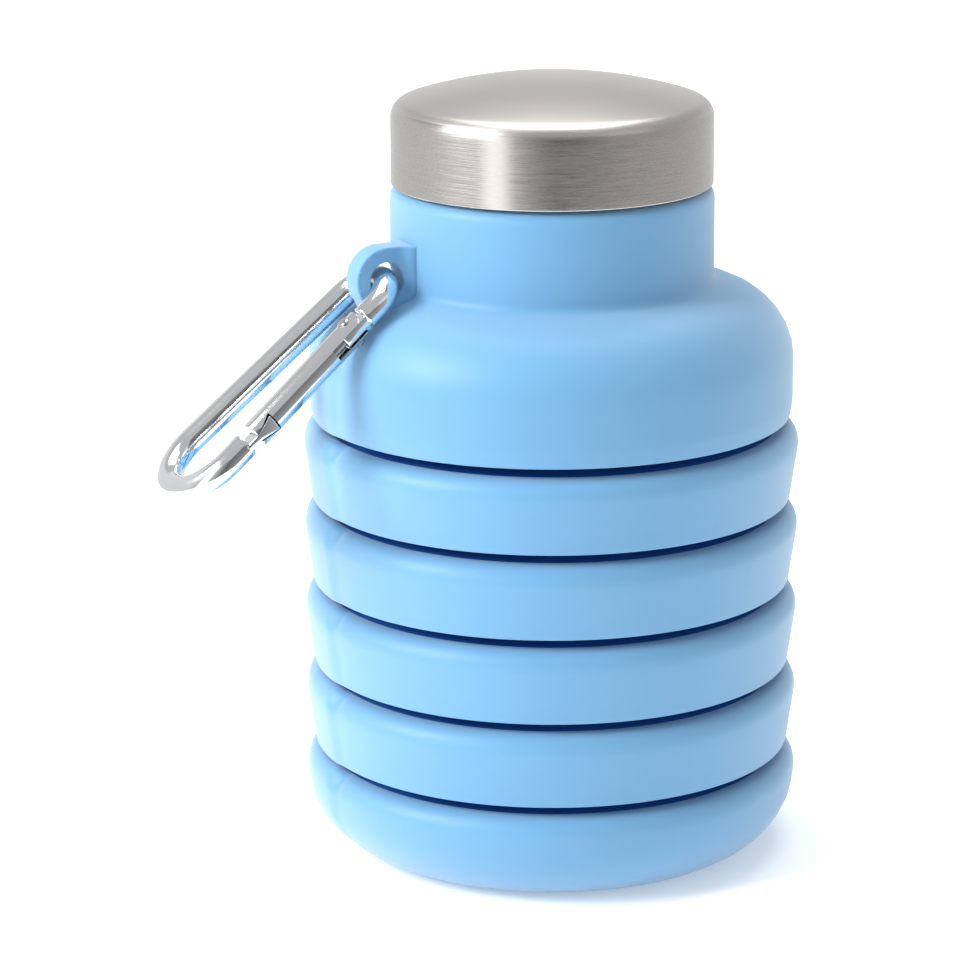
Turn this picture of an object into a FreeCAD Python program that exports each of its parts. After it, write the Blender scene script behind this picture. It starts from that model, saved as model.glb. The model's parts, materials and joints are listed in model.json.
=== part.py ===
import FreeCAD, Part

import math
import os

import Sketcher
from FreeCAD import Placement, Rotation, Vector

# A folding silicone water bottle in its collapsed state, with a screw cap and a carabiner.
# Origin: on the bottle's axis, at the level it stands on. +Z is up, the carrying lug is at -X
# and the carabiner's gate is on its -Y side. All sizes are in millimetres and degrees.

SIZES = {
    # hoop bands of the silicone body
    "band_count": 4,
    "band_radius": 38.67,
    "band_foot_radius": 37.0,
    "band_height": 11.5,
    "band_top_round": 2.9,
    "band_foot_round": 0.4,
    "slit_gap": 1.6,
    "ledge_radius": 34.9,
    "ledge_depth": 0.85,
    "inner_radius": 33.8,
    # thin folded walls between the bands
    "web_apex_radius": 25.9,
    "web_wall": 1.15,
    # base cup
    "base_height": 15.0,
    "base_foot_radius": 36.9,
    "base_round": 11.5,
    "base_floor": 4.2,
    "base_inner_round": 8.0,
    "recess_inner_radius": 9.0,
    "recess_outer_radius": 21.0,
    "recess_depth": 0.8,
    # shoulder, neck sleeve and lug, heights above the shoulder's lower edge
    "shoulder_foot_radius": 36.9,
    "shoulder_radius": 37.26,
    "shoulder_flare": 2.5,
    "shoulder_corner": 17.0,
    "shoulder_round": 10.5,
    "shoulder_inner_corner": 12.6,
    "shoulder_inner_round": 6.5,
    "neck_radius": 24.9,
    "neck_foot": 20.9,
    "neck_inner_foot": 17.4,
    "neck_top": 35.7,
    "neck_top_round": 1.95,
    "neck_foot_round": 1.4,
    "lug_reach": 29.1,
    "lug_level": 23.8,
    "lug_radius": 5.0,
    "lug_toe_out": 0.6,
    "lug_toe_drop": 1.8,
    "lug_heel_rise": 0.6,
    "lug_hole": 5.4,
    "lug_thickness": 4.0,
    "lug_root": 22.8,
    "lug_edge_round": 1.0,
    # rigid collar in the neck
    "collar_radius": 20.9,
    "collar_bore": 18.8,
    "collar_foot": 19.0,
    "collar_top": 46.0,
    "collar_round": 0.4,
    "flange_radius": 22.6,
    "flange_low": 21.5,
    "flange_high": 34.2,
    "flange_thick": 1.5,
    "fit_gap": 0.05,
    # screw thread, shared by the collar and the cap liner
    "thread_pitch": 4.0,
    "thread_turns": 1.25,
    "thread_height": 1.1,
    "thread_root": 2.0,
    "thread_crest": 0.9,
    "thread_start": 37.0,
    "thread_sink": 0.3,
    # cap
    "cap_radius": 24.7,
    "cap_foot": 35.95,
    "cap_height": 16.45,
    "cap_wall": 0.5,
    "cap_corner_round": 2.6,
    "cap_dome_radius": 75.1,
    "cap_lip": 0.6,
    "liner_radius": 24.05,
    "liner_bore": 22.4,
    "liner_roof": 1.4,
    "liner_round": 3.2,
    "gasket_thick": 1.2,
    "gasket_outer": 22.2,
    "gasket_inner": 18.2,
    # carabiner, measured along its hanging direction from the lug hole's centre
    "hang_angle": 39.5,
    "rod_radius": 2.0,
    "loop_start": 0.2,
    "top_bend": 5.4,
    "low_bend": 7.2,
    "bend_spacing": 31.6,
    "pin_reach": 4.8,
    "gate_length": 21.6,
    "nose_reach": 23.2,
    # carabiner gate, measured along the gate from the hinge pin
    "gate_radius": 2.15,
    "fork_slot": 2.1,
    "fork_depth": 4.6,
    "ear_trim_half": 2.9,
    "ear_trim_back": 3.3,
    "tang_thick": 1.8,
    "tang_gap": 2.75,
    "tang_half_height": 1.4,
    "tang_end": 2.0,
    "pin_radius": 0.75,
    "pin_clearance": 0.12,
    "pin_seat": 1.75,
    "pin_head_radius": 1.05,
    "pin_head": 0.65,
    "pin_head_round": 0.5,
    "pin_head_gap": 0.1,
    "bore_radius": 1.1,
    "bore_depth": 9.4,
    "plunger_radius": 1.0,
    "plunger_clearance": 0.05,
    "plunger_head": 3.9,
    "plunger_stem_radius": 0.5,
    "plunger_stem": 2.0,
    "spring_radius": 0.8,
    "spring_wire": 0.15,
    "spring_turns": 8.0,
    "nose_neck_width": 1.1,
    "nose_head_width": 2.7,
    "nose_head_start": 18.2,
    "nose_head_end": 21.3,
    "nose_outer": 2.0,
    "nose_inner": 0.8,
    "nose_clearance": 0.2,
    # how far a tang or nose is sunk into its rod, and a depth that cuts right through any of them
    "root_sink": 0.5,
    "through_cut": 14.0,
}

SHOULDER_FOOT = "(dims.base_height + dims.slit_gap + dims.band_count * (dims.band_height + dims.slit_gap))"
LUG_TOE = (
    "-dims.lug_reach - dims.lug_toe_out",
    f"{SHOULDER_FOOT} + dims.neck_inner_foot - dims.lug_toe_drop",
)
LUG_HEEL = f"{SHOULDER_FOOT} + dims.neck_inner_foot + dims.lug_heel_rise"
CAP_APEX = f"{SHOULDER_FOOT} + dims.cap_foot + dims.cap_height"
LEG_SLOPE = "asin((dims.low_bend - dims.top_bend) / dims.bend_spacing)"
PIN_X = f"dims.loop_start + dims.top_bend * (1 - sin({LEG_SLOPE})) + cos({LEG_SLOPE}) * dims.pin_reach"
PIN_Y = f"-dims.top_bend * cos({LEG_SLOPE}) - sin({LEG_SLOPE}) * dims.pin_reach"
TOUCH = 1e-4

doc = FreeCAD.newDocument("folding_bottle")
dims = doc.addObject("Spreadsheet::Sheet", "dims")
for row, (alias, size) in enumerate(SIZES.items(), 1):
    dims.set(f"A{row}", alias)
    dims.set(f"B{row}", str(size))
    dims.setAlias(f"B{row}", alias)
doc.recompute()


def number(expression):
    """The value that an expression over the sheet's cells has now."""
    result = dims.evalExpression(expression)
    return float(getattr(result, "Value", result))


def above_shoulder(cell):
    """The height of something that the sheet measures from the shoulder's lower edge."""
    return f"{SHOULDER_FOOT} + dims.{cell}"


def new_body(name):
    """An empty body whose label is the node's name."""
    body = doc.addObject("PartDesign::Body", name)
    body.Label = name
    return body


def new_sketch(body, name, role="XZ_Plane", offset=None):
    """A sketch on one of the body's own origin planes, moved along its normal by an expression."""
    sketch = body.newObject("Sketcher::SketchObject", name)
    plane = next(item for item in body.Origin.OriginFeatures if item.Role == role)
    sketch.AttachmentSupport = [(plane, "")]
    sketch.MapMode = "FlatFace"
    if offset:
        sketch.setExpression("AttachmentOffset.Base.z", offset)
    return sketch


def bind(sketch, name, expression, kind, *where):
    """Adds one dimension to a sketch and binds it to an expression."""
    size = math.radians(number(expression)) if kind == "Angle" else number(expression)
    index = sketch.addConstraint(Sketcher.Constraint(kind, *where, size))
    sketch.renameConstraint(index, name)
    sketch.setExpression(f"Constraints.{name}", expression)


def place_vertex(sketch, geometry, end, across, along, name):
    """Fixes a vertex at (across, along) from the sketch's origin; a plain 0 puts it on an axis."""
    if across == "0":
        sketch.addConstraint(Sketcher.Constraint("PointOnObject", geometry, end, -2))
    else:
        bind(sketch, f"{name}_x", across, "DistanceX", -1, 1, geometry, end)
    if along == "0":
        sketch.addConstraint(Sketcher.Constraint("PointOnObject", geometry, end, -1))
    else:
        bind(sketch, f"{name}_y", along, "DistanceY", -1, 1, geometry, end)


def corner_round(before, corner, after, radius):
    """The entry, exit and centre of a round between two straight sides, and whether it turns left."""
    entry_way = (corner - before).normalize()
    exit_way = (after - corner).normalize()
    turn_angle = entry_way.getAngle(exit_way)
    reach = radius * math.tan(turn_angle / 2)
    inwards = (exit_way - entry_way).normalize()
    centre = corner + inwards * (radius / math.cos(turn_angle / 2))
    left = entry_way.cross(exit_way).z > 0
    return corner - entry_way * reach, corner + exit_way * reach, centre, left


def arc_of(centre, radius, begin, end):
    """An arc about a centre from one angle to another."""
    return Part.ArcOfCircle(Part.Circle(centre, Vector(0, 0, 1), radius), begin, end)


def outline(sketch, corners):
    """Draws a closed outline through corners of expressions: (across, along), or with a third one, the
    radius, (across, along, radius) where the corner is rounded."""
    points = [Vector(number(corner[0]), number(corner[1]), 0) for corner in corners]
    count = len(points)
    first = sketch.GeometryCount
    rounds = {}
    for index, corner in enumerate(corners):
        if len(corner) == 3:
            around = points[index - 1], points[index], points[(index + 1) % count]
            rounds[index] = corner_round(*around, number(corner[2]))
    for index in range(count):
        after = (index + 1) % count
        begin = rounds[index][1] if index in rounds else points[index]
        finish = rounds[after][0] if after in rounds else points[after]
        sketch.addGeometry(Part.LineSegment(begin, finish))
    for index in range(count):
        side, previous = first + index, first + (index - 1) % count
        across, along = corners[index][:2]
        if index not in rounds:
            sketch.addConstraint(Sketcher.Constraint("Coincident", previous, 2, side, 1))
            place_vertex(sketch, side, 1, across, along, f"corner{side}")
            continue
        entry, leave, centre, left = rounds[index]
        radius = (entry - centre).Length
        angles = [math.atan2(end.y - centre.y, end.x - centre.x) for end in (entry, leave)]
        arc = sketch.addGeometry(arc_of(centre, radius, *(angles if left else reversed(angles))))
        corner = sketch.addGeometry(Part.Point(points[index]), True)
        sketch.addConstraint(Sketcher.Constraint("Tangent", previous, 2, arc, 1 if left else 2))
        sketch.addConstraint(Sketcher.Constraint("Tangent", side, 1, arc, 2 if left else 1))
        sketch.addConstraint(Sketcher.Constraint("PointOnObject", corner, 1, previous))
        sketch.addConstraint(Sketcher.Constraint("PointOnObject", corner, 1, side))
        place_vertex(sketch, corner, 1, across, along, f"corner{side}")
        bind(sketch, f"round{side}", corners[index][2], "Radius", arc)


def circle(sketch, across, along, radius, name="hole"):
    """Draws a circle whose centre and radius are expressions."""
    centre = Vector(number(across), number(along), 0)
    index = sketch.addGeometry(Part.Circle(centre, Vector(0, 0, 1), number(radius)))
    place_vertex(sketch, index, 3, across, along, name)
    bind(sketch, f"{name}_radius", radius, "Radius", index)


def checked(body, name, cut, make):
    """Makes a feature and refuses it if it doesn't change the volume the way it should."""
    volume = 0 if body.Shape.isNull() else body.Shape.Volume
    feature = make()
    doc.recompute()
    change = body.Shape.Volume - volume
    if (change < 0) != cut or abs(change) < TOUCH:
        raise RuntimeError(f"{name} changed the volume by {change:.4f}")
    return feature


def revolve(body, sketch, name, axis="V_Axis", cut=False):
    """Turns a sketch all the way round one of its own axes, as a solid or as a cut."""

    def make():
        """The revolution or groove itself."""
        feature = body.newObject("PartDesign::Groove" if cut else "PartDesign::Revolution", name)
        feature.Profile = sketch
        feature.ReferenceAxis = (sketch, [axis])
        feature.Angle = 360
        return feature

    return checked(body, name, cut, make)


def lathe(name, corners):
    """A body turned about Z from a closed outline of (radius, height) expressions."""
    body = new_body(name)
    sketch = new_sketch(body, f"{name}_section")
    outline(sketch, corners)
    revolve(body, sketch, f"{name}_turn")
    return body


def wind(body, sketch, name, axis, pitch, turns):
    """Sweeps a sketch along a right-handed helix about one of its own axes."""

    def make():
        """The helix itself."""
        helix = body.newObject("PartDesign::AdditiveHelix", name)
        helix.Profile = sketch
        helix.ReferenceAxis = (sketch, [axis])
        helix.Mode = "pitch-turns-angle"
        helix.setExpression("Pitch", pitch)
        helix.setExpression("Turns", turns)
        return helix

    return checked(body, name, False, make)


def slab(body, sketch, name, thickness, cut=False):
    """Pads, or cuts, a sketch evenly to both sides of its plane."""

    def make():
        """The pad or pocket itself."""
        feature = body.newObject("PartDesign::Pocket" if cut else "PartDesign::Pad", name)
        feature.Profile = sketch
        feature.Midplane = True
        feature.setExpression("Length", thickness)
        return feature

    return checked(body, name, cut, make)


def two_sided(body, sketch, name, outer, inner, cut=False):
    """Pads, or cuts, a sketch by different depths to the -Y side, outer, and the +Y side, inner."""

    def make():
        """The pad or pocket itself."""
        feature = body.newObject("PartDesign::Pocket" if cut else "PartDesign::Pad", name)
        feature.Profile = sketch
        feature.SideType = "Two sides"
        first, second = ("Length2", "Length") if cut else ("Length", "Length2")
        feature.setExpression(first, outer)
        feature.setExpression(second, inner)
        return feature

    return checked(body, name, cut, make)


def round_edges(body, name, radius, wanted):
    """Rounds every edge for which wanted(edge) holds."""
    base = body.Tip
    found = [f"Edge{index}" for index, edge in enumerate(base.Shape.Edges, 1) if wanted(edge)]
    feature = body.newObject("PartDesign::Fillet", name)
    feature.Base = (base, found)
    feature.setExpression("Radius", radius)
    doc.recompute()
    return feature


# ---- soft body ----------------------------------------------------------------------------


def make_base_cup():
    """The moulded cup that the bottle stands on."""
    ledge = "dims.base_height - dims.ledge_depth"
    return lathe(
        "base_cup",
        [
            ("0", "0"),
            ("dims.recess_inner_radius", "0"),
            ("dims.recess_inner_radius + dims.recess_depth", "dims.recess_depth"),
            ("dims.recess_outer_radius - dims.recess_depth", "dims.recess_depth"),
            ("dims.recess_outer_radius", "0"),
            ("dims.base_foot_radius", "0", "dims.base_round"),
            ("dims.band_radius", "dims.base_height", "dims.band_top_round"),
            ("dims.ledge_radius", "dims.base_height"),
            ("dims.ledge_radius", ledge),
            ("dims.inner_radius", ledge),
            ("dims.inner_radius", "dims.base_floor", "dims.base_inner_round"),
            ("0", "dims.base_floor"),
        ],
    )


def band_foot(index):
    """The height of the lower edge of band number index, counted from 1 upwards."""
    return f"(dims.base_height + dims.slit_gap + {index - 1} * (dims.band_height + dims.slit_gap))"


def make_band(index):
    """One thick hoop band, wider at its soft upper edge than at its crisp lower one."""
    foot = band_foot(index)
    top = f"({foot} + dims.band_height)"
    return lathe(
        f"band_{index}",
        [
            ("dims.ledge_radius", foot),
            ("dims.band_foot_radius", foot, "dims.band_foot_round"),
            ("dims.band_radius", top, "dims.band_top_round"),
            ("dims.ledge_radius", top),
            ("dims.ledge_radius", f"{top} - dims.ledge_depth"),
            ("dims.inner_radius", f"{top} - dims.ledge_depth"),
            ("dims.inner_radius", f"{foot} + dims.ledge_depth"),
            ("dims.ledge_radius", f"{foot} + dims.ledge_depth"),
        ],
    )


def make_fold_web(index):
    """The thin wall below band number index, folded inwards like a hairpin between two ledges."""
    foot = band_foot(index)
    top = f"({foot} + dims.ledge_depth)"
    bottom = f"({foot} - dims.slit_gap - dims.ledge_depth)"
    crease = "dims.web_apex_radius + dims.web_wall"
    return lathe(
        f"fold_web_{index}",
        [
            ("dims.web_apex_radius", bottom, "dims.web_wall"),
            ("dims.ledge_radius", bottom),
            ("dims.ledge_radius", f"{bottom} + dims.web_wall"),
            (crease, f"{bottom} + dims.web_wall"),
            (crease, f"{top} - dims.web_wall"),
            ("dims.ledge_radius", f"{top} - dims.web_wall"),
            ("dims.ledge_radius", top),
            ("dims.web_apex_radius", top, "dims.web_wall"),
        ],
    )


def shoulder_corners():
    """The shoulder's section, up the outside and down past the collar's two seats."""
    groove = "dims.flange_radius + dims.fit_gap"
    bore = "dims.collar_radius + dims.fit_gap"
    low_seat = above_shoulder("flange_low")
    high_seat = above_shoulder("flange_high")
    return [
        ("dims.ledge_radius", SHOULDER_FOOT),
        ("dims.shoulder_foot_radius", SHOULDER_FOOT, "dims.band_foot_round"),
        ("dims.shoulder_radius", above_shoulder("shoulder_flare")),
        ("dims.shoulder_radius", above_shoulder("shoulder_corner"), "dims.shoulder_round"),
        ("dims.neck_radius", above_shoulder("neck_foot"), "dims.neck_foot_round"),
        ("dims.neck_radius", above_shoulder("neck_top"), "dims.neck_top_round"),
        (groove, above_shoulder("neck_top")),
        (groove, high_seat),
        (bore, high_seat),
        (bore, f"{low_seat} + dims.flange_thick"),
        (groove, f"{low_seat} + dims.flange_thick"),
        (groove, low_seat),
        (bore, low_seat),
        (bore, above_shoulder("neck_inner_foot")),
        ("dims.inner_radius", above_shoulder("shoulder_inner_corner"), "dims.shoulder_inner_round"),
        ("dims.inner_radius", above_shoulder("ledge_depth")),
        ("dims.ledge_radius", above_shoulder("ledge_depth")),
    ]


def draw_lug(sketch):
    """The lug's side view: an arc round the hole, a flat top into the neck, a toe in the shoulder."""
    reach, radius = number("dims.lug_reach"), number("dims.lug_radius")
    centre = Vector(-reach, number(above_shoulder("lug_level")), 0)
    start = centre + Vector(0, radius, 0)
    toe = Vector(number(LUG_TOE[0]), number(LUG_TOE[1]), 0)
    down = toe - centre
    arc_end = math.atan2(down.y, down.x) % math.tau - math.acos(radius / down.Length)
    finish = centre + Vector(math.cos(arc_end), math.sin(arc_end), 0) * radius
    heel = Vector(number("-dims.lug_root"), number(LUG_HEEL), 0)
    head = Vector(heel.x, start.y, 0)
    sketch.addGeometry(arc_of(centre, radius, math.pi / 2, arc_end))
    for first, second in ((finish, toe), (toe, heel), (heel, head), (head, start)):
        sketch.addGeometry(Part.LineSegment(first, second))
    for side in (1, 2, 3):
        sketch.addConstraint(Sketcher.Constraint("Coincident", side, 2, side + 1, 1))
    sketch.addConstraint(Sketcher.Constraint("Tangent", 0, 2, 1, 1))
    sketch.addConstraint(Sketcher.Constraint("Tangent", 4, 2, 0, 1))
    sketch.addConstraint(Sketcher.Constraint("Horizontal", 4))
    sketch.addConstraint(Sketcher.Constraint("Vertical", 3))
    bind(sketch, "lug_radius", "dims.lug_radius", "Radius", 0)
    place_vertex(sketch, 0, 3, "-dims.lug_reach", above_shoulder("lug_level"), "centre")
    place_vertex(sketch, 1, 2, *LUG_TOE, "toe")
    place_vertex(sketch, 3, 1, "-dims.lug_root", LUG_HEEL, "heel")


def add_lug(body):
    """The ear on the neck, with rounded edges and the hole that the carabiner hangs in."""
    sketch = new_sketch(body, "lug_outline")
    draw_lug(sketch)
    slab(body, sketch, "lug", "dims.lug_thickness")
    hole = new_sketch(body, "lug_hole_outline")
    circle(hole, "-dims.lug_reach", above_shoulder("lug_level"), "dims.lug_hole / 2")
    slab(body, hole, "lug_hole", "dims.through_cut", cut=True)
    middle = Vector(number("-dims.lug_reach"), 0, number(above_shoulder("lug_level")))
    half = number("dims.lug_thickness") / 2

    def goes_round_hole(edge):
        """Whether an edge is a circle about the hole's axis on one of the lug's two faces."""
        if not isinstance(edge.Curve, Part.Circle):
            return False
        offset = edge.Curve.Center - middle
        return abs(abs(offset.y) - half) < TOUCH and abs(offset.x) + abs(offset.z) < TOUCH

    round_edges(body, "lug_rounds", "dims.lug_edge_round", goes_round_hole)


def make_shoulder_neck():
    """Shoulder, neck sleeve and carrying lug, moulded as one."""
    body = lathe("shoulder_neck", shoulder_corners())
    add_lug(body)
    return body


# ---- mouth and cap ------------------------------------------------------------------------


def add_thread(body, name, core, outwards, start):
    """A trapezoid ridge wound on a cylinder, standing outwards or inwards from its surface."""
    grow, sink = ("+", "-") if outwards else ("-", "+")
    foot = f"{core} {sink} dims.thread_sink"
    crest = f"{core} {grow} dims.thread_height"
    middle = f"{start} + dims.thread_root / 2"
    sketch = new_sketch(body, f"{name}_profile")
    corners = [
        (foot, start),
        (crest, f"{middle} - dims.thread_crest / 2"),
        (crest, f"{middle} + dims.thread_crest / 2"),
        (foot, f"{start} + dims.thread_root"),
    ]
    outline(sketch, corners)
    wind(body, sketch, name, "V_Axis", "dims.thread_pitch", "dims.thread_turns")


def make_neck_collar():
    """The rigid threaded mouth that the soft neck grips by two flanges."""
    low, high = above_shoulder("flange_low"), above_shoulder("flange_high")
    body = lathe(
        "neck_collar",
        [
            ("dims.collar_bore", above_shoulder("collar_foot")),
            ("dims.collar_radius", above_shoulder("collar_foot")),
            ("dims.collar_radius", low),
            ("dims.flange_radius", low),
            ("dims.flange_radius", f"{low} + dims.flange_thick"),
            ("dims.collar_radius", f"{low} + dims.flange_thick"),
            ("dims.collar_radius", high),
            ("dims.flange_radius", high),
            ("dims.flange_radius", f"{high} + dims.flange_thick"),
            ("dims.collar_radius", f"{high} + dims.flange_thick"),
            ("dims.collar_radius", above_shoulder("collar_top"), "dims.collar_round"),
            ("dims.collar_bore", above_shoulder("collar_top"), "dims.collar_round"),
        ],
    )
    add_thread(body, "collar_thread", "dims.collar_radius", True, above_shoulder("thread_start"))
    return body


def draw_cap_section(sketch):
    """The steel cap's wall: lip, straight side, round corner and dome, each at one wall thickness."""
    radius, wall, lip = (number(f"dims.{cell}") for cell in ("cap_radius", "cap_wall", "cap_lip"))
    corner, dome = number("dims.cap_corner_round"), number("dims.cap_dome_radius")
    foot, apex = number(above_shoulder("cap_foot")), number(CAP_APEX)
    across = radius - corner
    rise = math.sqrt((dome - corner) ** 2 - across**2)
    dome_centre = Vector(0, apex - dome, 0)
    corner_centre = dome_centre + Vector(across, rise, 0)
    meet = math.atan2(rise, across)
    inner = radius - wall
    side_top = corner_centre.y

    def line(*ends):
        """A straight side between two (across, along) pairs."""
        return Part.LineSegment(*(Vector(*end, 0) for end in ends))

    sides = [
        line((inner - lip, foot), (radius, foot)),
        line((radius, foot), (radius, side_top)),
        arc_of(corner_centre, corner, 0, meet),
        arc_of(dome_centre, dome, meet, math.pi / 2),
        line((0, apex), (0, apex - wall)),
        arc_of(dome_centre, dome - wall, meet, math.pi / 2),
        arc_of(corner_centre, corner - wall, 0, meet),
        line((inner, side_top), (inner, foot + lip)),
        line((inner, foot + lip), (inner - lip, foot + lip)),
        line((inner - lip, foot + lip), (inner - lip, foot)),
    ]
    for side in sides:
        sketch.addGeometry(side)


def make_cap_shell():
    """The drawn steel cap: domed top, round corner, straight side and a lip turned inwards."""
    body = new_body("cap_shell")
    sketch = new_sketch(body, "cap_shell_section")
    draw_cap_section(sketch)
    corners = ((0, 2, 1, 1), (3, 2, 4, 1), (4, 2, 5, 2), (7, 2, 8, 1), (8, 2, 9, 1), (9, 2, 0, 1))
    dome_centres = (5, 3, 3, 3)
    for joint in (*corners, dome_centres):
        sketch.addConstraint(Sketcher.Constraint("Coincident", *joint))
    for joint in ((1, 2, 2, 1), (2, 2, 3, 1), (5, 1, 6, 2), (6, 1, 7, 1)):
        sketch.addConstraint(Sketcher.Constraint("Tangent", *joint))
    for side in (1, 4, 7, 9):
        sketch.addConstraint(Sketcher.Constraint("Vertical", side))
    for side in (0, 8):
        sketch.addConstraint(Sketcher.Constraint("Horizontal", side))
    lip_radius = "dims.cap_radius - dims.cap_wall - dims.cap_lip"
    place_vertex(sketch, 0, 1, lip_radius, above_shoulder("cap_foot"), "lip")
    place_vertex(sketch, 4, 1, "0", CAP_APEX, "apex")
    sketch.addConstraint(Sketcher.Constraint("PointOnObject", 3, 3, -2))
    bind(sketch, "side", "dims.cap_radius", "DistanceX", -1, 1, 1, 1)
    bind(sketch, "under_apex", f"{CAP_APEX} - dims.cap_wall", "DistanceY", -1, 1, 4, 2)
    bind(sketch, "corner", "dims.cap_corner_round", "Radius", 2)
    bind(sketch, "dome", "dims.cap_dome_radius", "Radius", 3)
    bind(sketch, "inside", "dims.cap_radius - dims.cap_wall", "DistanceX", -1, 1, 7, 1)
    lip_top = f"{above_shoulder('cap_foot')} + dims.cap_lip"
    bind(sketch, "lip_top", lip_top, "DistanceY", -1, 1, 8, 2)
    revolve(body, sketch, "cap_shell_turn")
    return body


def make_cap_liner():
    """The plastic inner cap with the inside thread and the roof that holds the gasket."""
    foot = f"{above_shoulder('cap_foot')} + dims.cap_lip"
    seat = f"{above_shoulder('collar_top')} + dims.gasket_thick"
    roof = f"{seat} + dims.liner_roof"
    body = lathe(
        "cap_liner",
        [
            ("0", seat),
            ("dims.liner_bore", seat),
            ("dims.liner_bore", foot),
            ("dims.liner_radius", foot),
            ("dims.liner_radius", roof, "dims.liner_round"),
            ("0", roof),
        ],
    )
    start = f"{above_shoulder('thread_start')} + dims.thread_pitch / 2"
    add_thread(body, "liner_thread", "dims.liner_bore", False, start)
    return body


def make_cap_gasket():
    """The flat sealing ring between the liner's roof and the mouth."""
    bottom = above_shoulder("collar_top")
    top = f"{bottom} + dims.gasket_thick"
    inner, outer = "dims.gasket_inner", "dims.gasket_outer"
    return lathe("cap_gasket", [(inner, bottom), (outer, bottom), (outer, top), (inner, top)])


# ---- carabiner ----------------------------------------------------------------------------
# Its frame is drawn flat: X runs down the loop from the lug hole's centre and Y across it.
# The gate and what it holds are drawn along X from the hinge pin. Placements put both in place.


def hang_placement():
    """Where the loop's own frame stands: at the lug hole, turned down by the hanging angle."""
    hole = Vector(number("-dims.lug_reach"), 0, number(above_shoulder("lug_level")))
    return Placement(hole, Rotation(Vector(0, 1, 0), 180 - number("dims.hang_angle")))


def gate_placement():
    """Where the gate's own frame stands: at the hinge pin, along the leg."""
    pin = Vector(number(PIN_X), number(PIN_Y), 0)
    return hang_placement() * Placement(pin, Rotation(Vector(0, 0, 1), -number(LEG_SLOPE)))


def loop_points():
    """The loop's two bend centres and its pin, and the near leg's direction and outward normal."""
    slope = math.radians(number(LEG_SLOPE))
    centre = Vector(number("dims.loop_start + dims.top_bend"), 0, 0)
    low_centre = centre + Vector(number("dims.bend_spacing"), 0, 0)
    pin = Vector(number(PIN_X), number(PIN_Y), 0)
    along = Vector(math.cos(slope), -math.sin(slope), 0)
    out = Vector(-math.sin(slope), -math.cos(slope), 0)
    return centre, low_centre, pin, along, out


def tie_top_bend(sketch, tangent_end, free_end):
    """Ties a path's first arc to the loop's frame and to the straight that follows it."""
    sketch.addConstraint(Sketcher.Constraint("Tangent", 0, tangent_end, 1, 1))
    sketch.addConstraint(Sketcher.Constraint("PointOnObject", 0, free_end, -1))
    sketch.addConstraint(Sketcher.Constraint("PointOnObject", 0, 3, -1))
    bind(sketch, "top_centre", "dims.loop_start + dims.top_bend", "DistanceX", -1, 1, 0, 3)
    bind(sketch, "top_bend", "dims.top_bend", "Radius", 0)


def short_path(body):
    """The rod's axis from the lug's hole round the near side to the hinge tang."""
    centre, _, pin, along, out = loop_points()
    top, slope = number("dims.top_bend"), math.radians(number(LEG_SLOPE))
    sketch = new_sketch(body, "short_way_path", "XY_Plane")
    sketch.addGeometry(arc_of(centre, top, math.pi, math.pi * 1.5 - slope))
    stop = pin - along * number("dims.tang_gap")
    sketch.addGeometry(Part.LineSegment(centre + out * top, stop))
    tie_top_bend(sketch, tangent_end=2, free_end=1)
    bind(sketch, "slope", f"-({LEG_SLOPE})", "Angle", -1, 1, 1, 1)
    bind(sketch, "stop", f"{PIN_X} - cos({LEG_SLOPE}) * dims.tang_gap", "DistanceX", -1, 1, 1, 2)
    return sketch


def long_path(body):
    """The rod's axis from the lug's hole by the far side and the low bend to the nose."""
    centre, low_centre, pin, along, out = loop_points()
    top, low = number("dims.top_bend"), number("dims.low_bend")
    slope = math.radians(number(LEG_SLOPE))
    far_out = Vector(out.x, -out.y, 0)
    half = math.pi * 0.5 + slope
    nose = pin + along * number("dims.nose_reach")
    sketch = new_sketch(body, "long_way_path", "XY_Plane")
    sketch.addGeometry(arc_of(centre, top, half, math.pi))
    sketch.addGeometry(Part.LineSegment(centre + far_out * top, low_centre + far_out * low))
    sketch.addGeometry(arc_of(low_centre, low, -half, half))
    sketch.addGeometry(Part.LineSegment(low_centre + out * low, nose))
    tie_top_bend(sketch, tangent_end=1, free_end=2)
    sketch.addConstraint(Sketcher.Constraint("Tangent", 1, 2, 2, 2))
    sketch.addConstraint(Sketcher.Constraint("Tangent", 2, 1, 3, 1))
    sketch.addConstraint(Sketcher.Constraint("PointOnObject", 2, 3, -1))
    bind(sketch, "spacing", "dims.bend_spacing", "DistanceX", 0, 3, 2, 3)
    bind(sketch, "low_bend", "dims.low_bend", "Radius", 2)
    bind(sketch, "near_slope", f"-({LEG_SLOPE})", "Angle", -1, 1, 3, 2)
    bind(sketch, "nose", f"{PIN_X} + cos({LEG_SLOPE}) * dims.nose_reach", "DistanceX", -1, 1, 3, 2)
    return sketch


def on_gate_leg(sketch, upright):
    """Moves a sketch of the loop's frame to the gate's own frame: origin at the pin, X along the leg."""
    axis = Vector(0, 1, 0) if upright else Vector(0, 0, 1)
    across, offset = ("z", f"-({PIN_Y})") if upright else ("y", PIN_Y)
    sketch.AttachmentOffset = Placement(Vector(), Rotation(axis, -number(LEG_SLOPE)))
    sketch.setExpression("AttachmentOffset.Rotation.Angle", f"-({LEG_SLOPE})")
    sketch.setExpression("AttachmentOffset.Base.x", PIN_X)
    sketch.setExpression(f"AttachmentOffset.Base.{across}", offset)


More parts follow.
